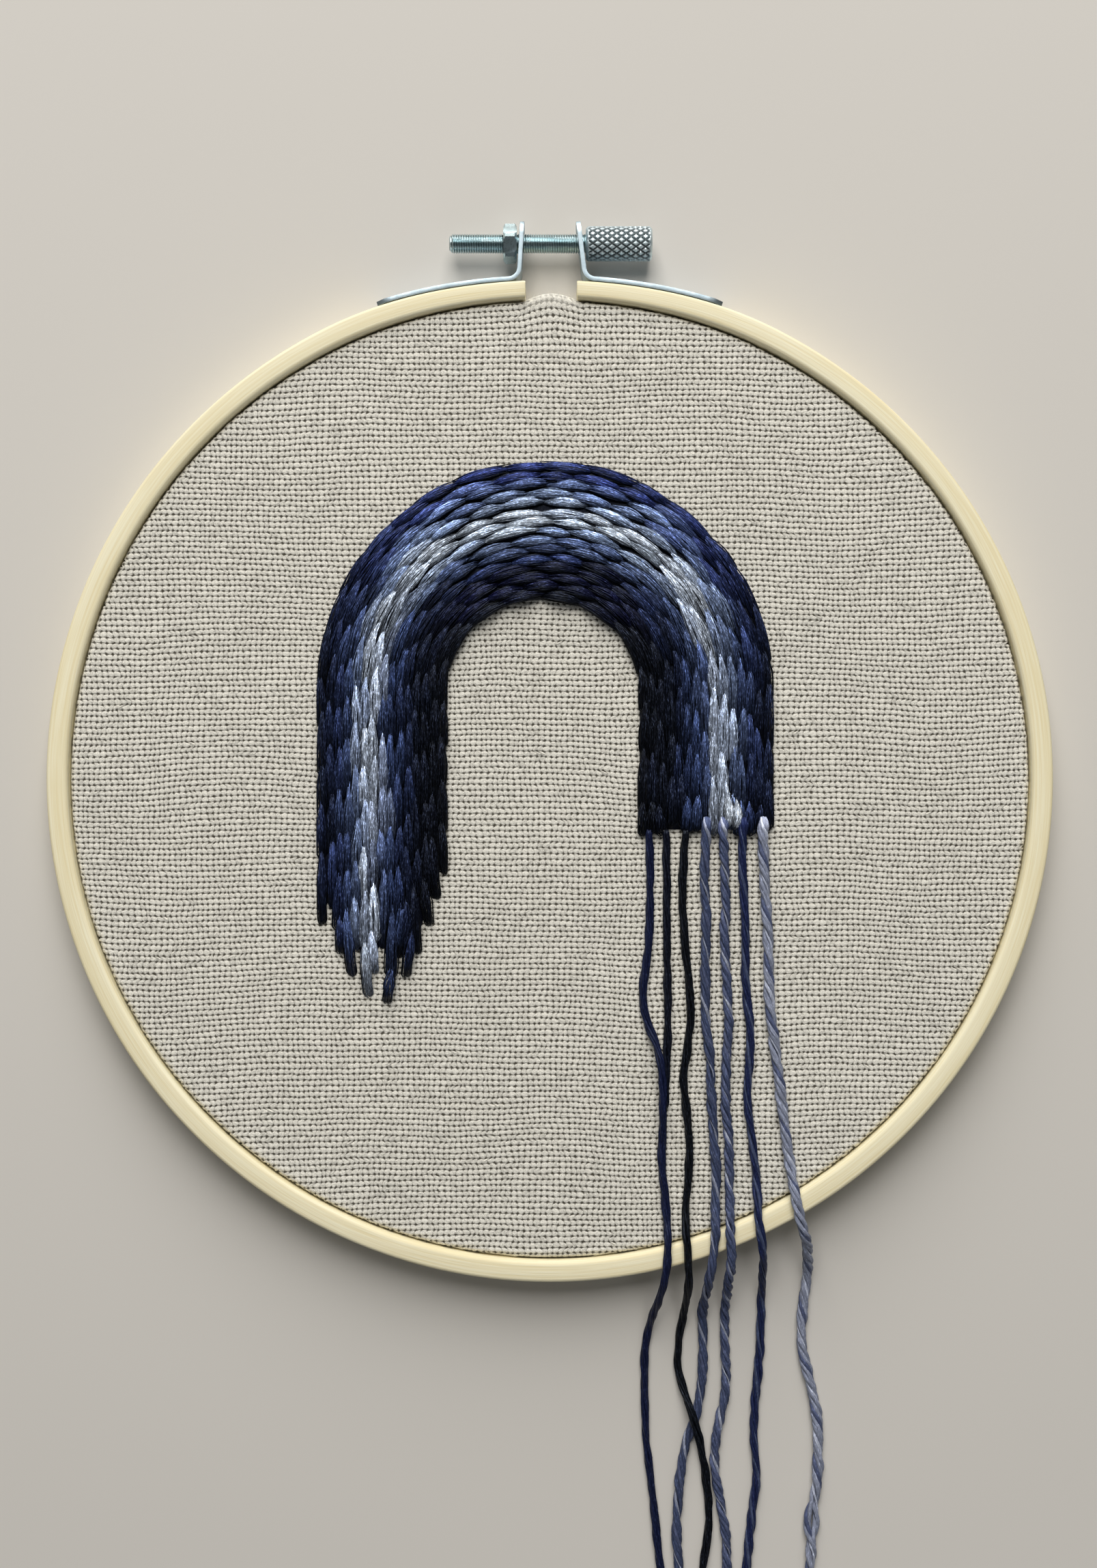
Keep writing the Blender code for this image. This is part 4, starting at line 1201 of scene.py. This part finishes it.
def ringMesh(name, ring):
    outline = ringOutline(ring)
    split = "splitLeft" in ring
    steps = rings["steps"]
    middleX = sum(x for x, z in outline) / len(outline)
    middleZ = sum(z for x, z in outline) / len(outline)
    stations = [(step / steps, 0) for step in range(steps)]
    if split:
        stations = [(0, ring["endRound"])] + stations + [(1, 0), (1, ring["endRound"])]
    points = []
    grain = []
    for share, inset in stations:
        for radius, height in outline:
            begin = math.asin(ring["splitRight"] / radius) if split else 0
            finish = math.tau - math.asin(ring["splitLeft"] / radius) if split else math.tau
            nudge = ring["endRound"] / radius if split and not inset else 0
            angle = mix(begin + nudge, finish - nudge, share)
            reach = radius
            z = height
            if inset:
                reach += (middleX - radius) * inset * ring["endTaper"][0]
                z += (middleZ - height) * inset * ring["endTaper"][1]
            reach -= pullIn(angle) * mix(*ring["pull"], 1 - (ring["radius"] - radius) / ring["wall"])
            points.append((reach * math.sin(angle), reach * math.cos(angle), z))
            grain.append((angle * ring["radius"], radius, height))
    wide = len(outline)
    faces = tubeFaces(0, len(stations), wide, closed=not split)
    if split:
        faces += [tuple(range(wide)), tuple(range(len(points) - wide, len(points)))]
    mesh = meshOf(name, points, faces)
    outwards(mesh)
    mesh.set_sharp_from_angle(angle=rings["sharpAbove"])
    keep(mesh, "grain", "FLOAT_VECTOR", grain)
    return mesh


def woodFinish():
    material, flow = newMaterial("paleBamboo")
    grain = attributeFlow(flow, "grain", "Vector")
    fibres = flow.noise(grain.stretch(bamboo["fibres"]), 1.0, 4.0)
    pores = flow.noise(grain.stretch(bamboo["pores"]), 1.0, 2.0)
    bands = flow.noise(grain.stretch(bamboo["bands"]), 1.0, 2.0)
    streak = (0.55 * fibres + 0.25 * pores + 0.3 * bands).step(0.36, 0.72)
    endMaterial(flow, {
        "Base Color": blend(flow, streak, bamboo["dark"], bamboo["bright"]),
        "Roughness": bamboo["roughness"] + 0.16 * pores,
        "Specular IOR Level": bamboo["specular"],
        "Normal": bump(flow, 0.6 * fibres + 0.4 * pores, bamboo["depth"], bamboo["relief"]),
    })
    return material


wood = woodFinish()
addPiece("bamboo_outer", ringMesh("bamboo_outer", outerRing), wood, ["outer_hoop"])
addPiece("bamboo_inner", ringMesh("bamboo_inner", innerRing), wood, ["inner_hoop"])
print("rings are bent")

# Screw, nut and brackets: zinc-plated steel; the strip's foot, start and finish are angles round the ring
strip = {
    "thickness": 0.9, "width": 8.0, "gap": 0.3, "earTop": 113.2, "bend": 2.4, "cutCorner": 0.9,
    "foot": math.radians(4), "start": math.radians(6.5), "finish": math.radians(20),
    "pathSteps": (8, 10, 15), "levels": 6,  # down the ear, round its foot, along the ring; across the strip
    "hole": 2.5, "holeSides": 40, "drillLength": 6,
    "edge": 0.16, "edgeSteps": 3, "edgeAbove": math.radians(50), "sharpAbove": math.radians(40),
}
# Each bracket's ear: its x at the screw, its lean and its side of the split
ears = {"bracket_left": (-5.8, math.radians(3.5), -1), "bracket_right": (6.25, math.radians(7), 1)}
screwAxis = {"y": 109.4, "z": 5.0}
rod = {"Radius": 2.0, "Start": -20.5, "End": 7.6, "Pitch": 0.5, "Depth": 0.26, "Taper": 0.6,
       "Sides": 32, "Steps": 336}
knurl = {"Radius": 3.5, "Start": 7.4, "End": 20.9, "Pitch": 1.95, "Around": 15, "Depth": 0.34,
         "Chamfer": 0.45, "Sides": 150, "Steps": 110}
nut = {"flats": 7.0, "thickness": 2.7, "right": -6.75, "turn": math.radians(-22), "hole": 2.36,
       "chamfer": 0.35, "sides": 48, "sharpAbove": math.radians(25)}
# Each finish: its roughness, and the colours of its darker and brighter patches
# all three are one zinc plate: their teal tint is a painted reflection, the strips' is painted darker as
# shade and the knurl's painted brighter as light
zincPlate = (0.2, (0.46, 0.62, 0.66), (0.76, 0.90, 0.93))
shearedZincPlate = (0.34, (0.24, 0.31, 0.35), (0.50, 0.59, 0.64))
rolledZincPlate = (0.4, (0.66, 0.79, 0.83), (0.88, 0.97, 1.0))
zinc = {"patches": 320.0, "scuffs": 2600.0, "scuffed": 0.2, "grooveShade": 0.86, "depth": 0.00003,
        "relief": 0.4}


def steelFinish(name, roughness, dark, bright):
    # grooves are painted darker than the tops between them, as shade
    material, flow = newMaterial(name)
    groove = attributeFlow(flow, "groove", "Fac")
    where = flow.node("ShaderNodeTexCoord").out("Object")
    cloudy = flow.noise(where, zinc["patches"], 3.0)
    scuffs = flow.noise(where, zinc["scuffs"], 2.0)
    endMaterial(flow, {
        "Base Color": blend(flow, cloudy, dark, bright) * (1 - zinc["grooveShade"] * groove),
        "Metallic": 1.0,
        "Roughness": roughness + zinc["scuffed"] * scuffs,
        "Normal": bump(flow, scuffs, zinc["depth"], zinc["relief"]),
    })
    return material


def turnedTree(name, sizes, profile):
    # a closed cylinder along X whose radius follows the profile
    entry = newTree(name, sizes)
    position = entry.node("GeometryNodeInputPosition")
    x = position.axis("X")
    y = position.axis("Y")
    along = entry.out("Start").towards(entry.out("End"), position.axis("Z") + 0.5)
    angle = y.math("ARCTAN2", x) / math.tau
    radius, groove = profile(entry, along, angle)
    mesh = store(entry, cylinder(entry), "groove", groove)
    place = entry.vector(along, screwAxis["y"] + y * radius, screwAxis["z"] + x * radius)
    endTree(entry, moved(entry, mesh, place))
    return entry


def threadProfile(entry, along, angle):
    # a sharp thread, with its first turns cut down
    groove = (along / entry.out("Pitch") + angle).fromMiddle()
    end = (entry.out("Start") + entry.out("Taper") - along).high(0).low(entry.out("Taper"))
    # the second value is how much painted shade the groove gets
    return entry.out("Radius") - entry.out("Depth") * groove - end * 0.8, groove * groove * 0.88


def knurlProfile(entry, along, angle):
    # two sets of grooves that cross in diamonds, between chamfered ends
    turns = angle * entry.out("Around")
    left = (along / entry.out("Pitch") + turns).fromMiddle()
    right = (along / entry.out("Pitch") - turns).fromMiddle()
    fromEnd = (along - entry.out("Start")).low(entry.out("End") - along)
    groove = left.high(right).step(0.5, 0.92) * fromEnd.step(0.25, 0.8)
    chamfer = (entry.out("Chamfer") - fromEnd).high(0)
    # the groove also says how much painted shade a point gets
    return entry.out("Radius") - entry.out("Depth") * groove - chamfer, groove


def stripCentre(angle):
    reach = hoopRadius + strip["gap"] + strip["thickness"] / 2 - pullIn(angle)
    return Vector((math.sin(angle) * reach, math.cos(angle) * reach))


def bracketPath(ear):
    # down the ear, round its foot and along the ring
    x, lean, side = ear
    slope = -side * math.tan(lean)
    top = Vector((x + slope * (strip["earTop"] - screwAxis["y"]), strip["earTop"]))
    footY = stripCentre(side * strip["foot"]).y
    foot = Vector((x + slope * (footY - screwAxis["y"]), footY))
    away = stripCentre(side * strip["start"])
    before = (top - foot).normalized()
    after = (away - foot).normalized()
    half = before.angle(after) / 2
    reach = strip["bend"] / math.tan(half)
    centre = foot + (before + after).normalized() * strip["bend"] / math.sin(half)
    begin = foot + before * reach - centre
    sweep = begin.angle_signed(foot + after * reach - centre)
    earSteps, bendSteps, ringSteps = strip["pathSteps"]
    points = [top.lerp(foot + before * reach, step / earSteps) for step in range(earSteps)]
    for step in range(bendSteps + 1):
        points.append(centre + Matrix.Rotation(-sweep * step / bendSteps, 2) @ begin)
    for step in range(ringSteps + 1):
        points.append(stripCentre(side * mix(strip["start"], strip["finish"], step / ringSteps)))
    return points


def newDrill(x):
    # a round bar along the screw's axis, which cuts the hole in an ear
    shape = bmesh.new()
    bmesh.ops.create_cone(shape, cap_ends=True, segments=strip["holeSides"],
                          radius1=strip["hole"], radius2=strip["hole"], depth=strip["drillLength"])
    mesh = bpy.data.meshes.new("drill")
    shape.to_mesh(mesh)
    shape.free()
    drill = newObject("drill", mesh)
    place = Matrix.Translation((x, screwAxis["y"], screwAxis["z"]))
    drill.matrix_world = place @ Matrix.Rotation(math.pi / 2, 4, "Y")
    return drill


def bracketMesh(name, ear):
    # a strip on edge with its free corners cut, given its thickness, its hole and its soft edges
    path = bracketPath(ear)
    levels = strip["levels"]
    heights = [screwAxis["z"] + strip["width"] * (level / levels - 0.5) for level in range(levels + 1)]
    points = [(*point, height) for point in path for height in heights]
    faces = []
    for index in range(len(path) - 1):
        for level in range(levels):
            corner = index * (levels + 1) + level
            faces.append((corner, corner + levels + 1, corner + levels + 2, corner + 1))
    last = len(points) - 1
    for corner in (0, levels, last - levels, last):
        x, y, z = points[corner]
        points[corner] = (x, y, z + (strip["cutCorner"] if z < screwAxis["z"] else -strip["cutCorner"]))
    carrier = newObject(name + "Strip", meshOf(name, points, faces))
    thicken = carrier.modifiers.new("thickness", "SOLIDIFY")
    thicken.thickness = strip["thickness"]
    thicken.offset = 0
    thicken.use_even_offset = True
    drill = newDrill(ear[0])
    cut = carrier.modifiers.new("hole", "BOOLEAN")
    cut.operation = "DIFFERENCE"
    cut.object = drill
    soften = carrier.modifiers.new("edges", "BEVEL")
    soften.width = strip["edge"]
    soften.segments = strip["edgeSteps"]
    soften.limit_method = "ANGLE"
    soften.angle_limit = strip["edgeAbove"]
    mesh = plainMesh(name, carrier)
    bpy.data.objects.remove(drill)
    outwards(mesh)
    mesh.shade_smooth()
    mesh.set_sharp_from_angle(angle=strip["sharpAbove"])
    return mesh


def nutMesh():
    # six flats with chamfered corners, turned a little on the thread
    half = nut["thickness"] / 2
    centre = nut["right"] - half
    apothem = nut["flats"] / 2
    corner = apothem / math.cos(math.radians(30))
    sections = ((-half, nut["hole"]), (-half, apothem), (-half + nut["chamfer"], corner),
                (half - nut["chamfer"], corner), (half, apothem), (half, nut["hole"]))
    points = []
    for along, reach in sections:
        for step in range(nut["sides"]):
            angle = math.tau * step / nut["sides"]
            flat = apothem / math.cos((angle + math.pi / 6) % (math.pi / 3) - math.pi / 6)
            radius = min(reach, flat)
            turned = angle + nut["turn"]
            points.append((centre + along, screwAxis["y"] + radius * math.sin(turned),
                           screwAxis["z"] + radius * math.cos(turned)))
    mesh = meshOf("hex_nut", points, tubeFaces(0, len(sections), nut["sides"], closed=True))
    outwards(mesh)
    mesh.set_sharp_from_angle(angle=nut["sharpAbove"])
    return mesh


def addTurned(name, sizes, profile, finish, sharpAbove):
    mesh = grow(name, turnedTree(name + "Shape", sizes, profile), sizes, finish)
    mesh.set_sharp_from_angle(angle=math.radians(sharpAbove))
    addPiece(name, mesh, finish, ["tension_screw"], "screw")


def addScrew():
    steel = steelFinish("zincPlate", *zincPlate)
    sheared = steelFinish("shearedZincPlate", *shearedZincPlate)
    addTurned("screw_rod", rod, threadProfile, steel, 60)
    addTurned("screw_head", knurl, knurlProfile, steelFinish("rolledZincPlate", *rolledZincPlate), 38)
    addPiece("hex_nut", nutMesh(), steel, ["screw_nut"])
    for name, ear in ears.items():
        addPiece("strip_" + name, bracketMesh(name, ear), sheared, [name])


addScrew()
print("screw and brackets are fitted")
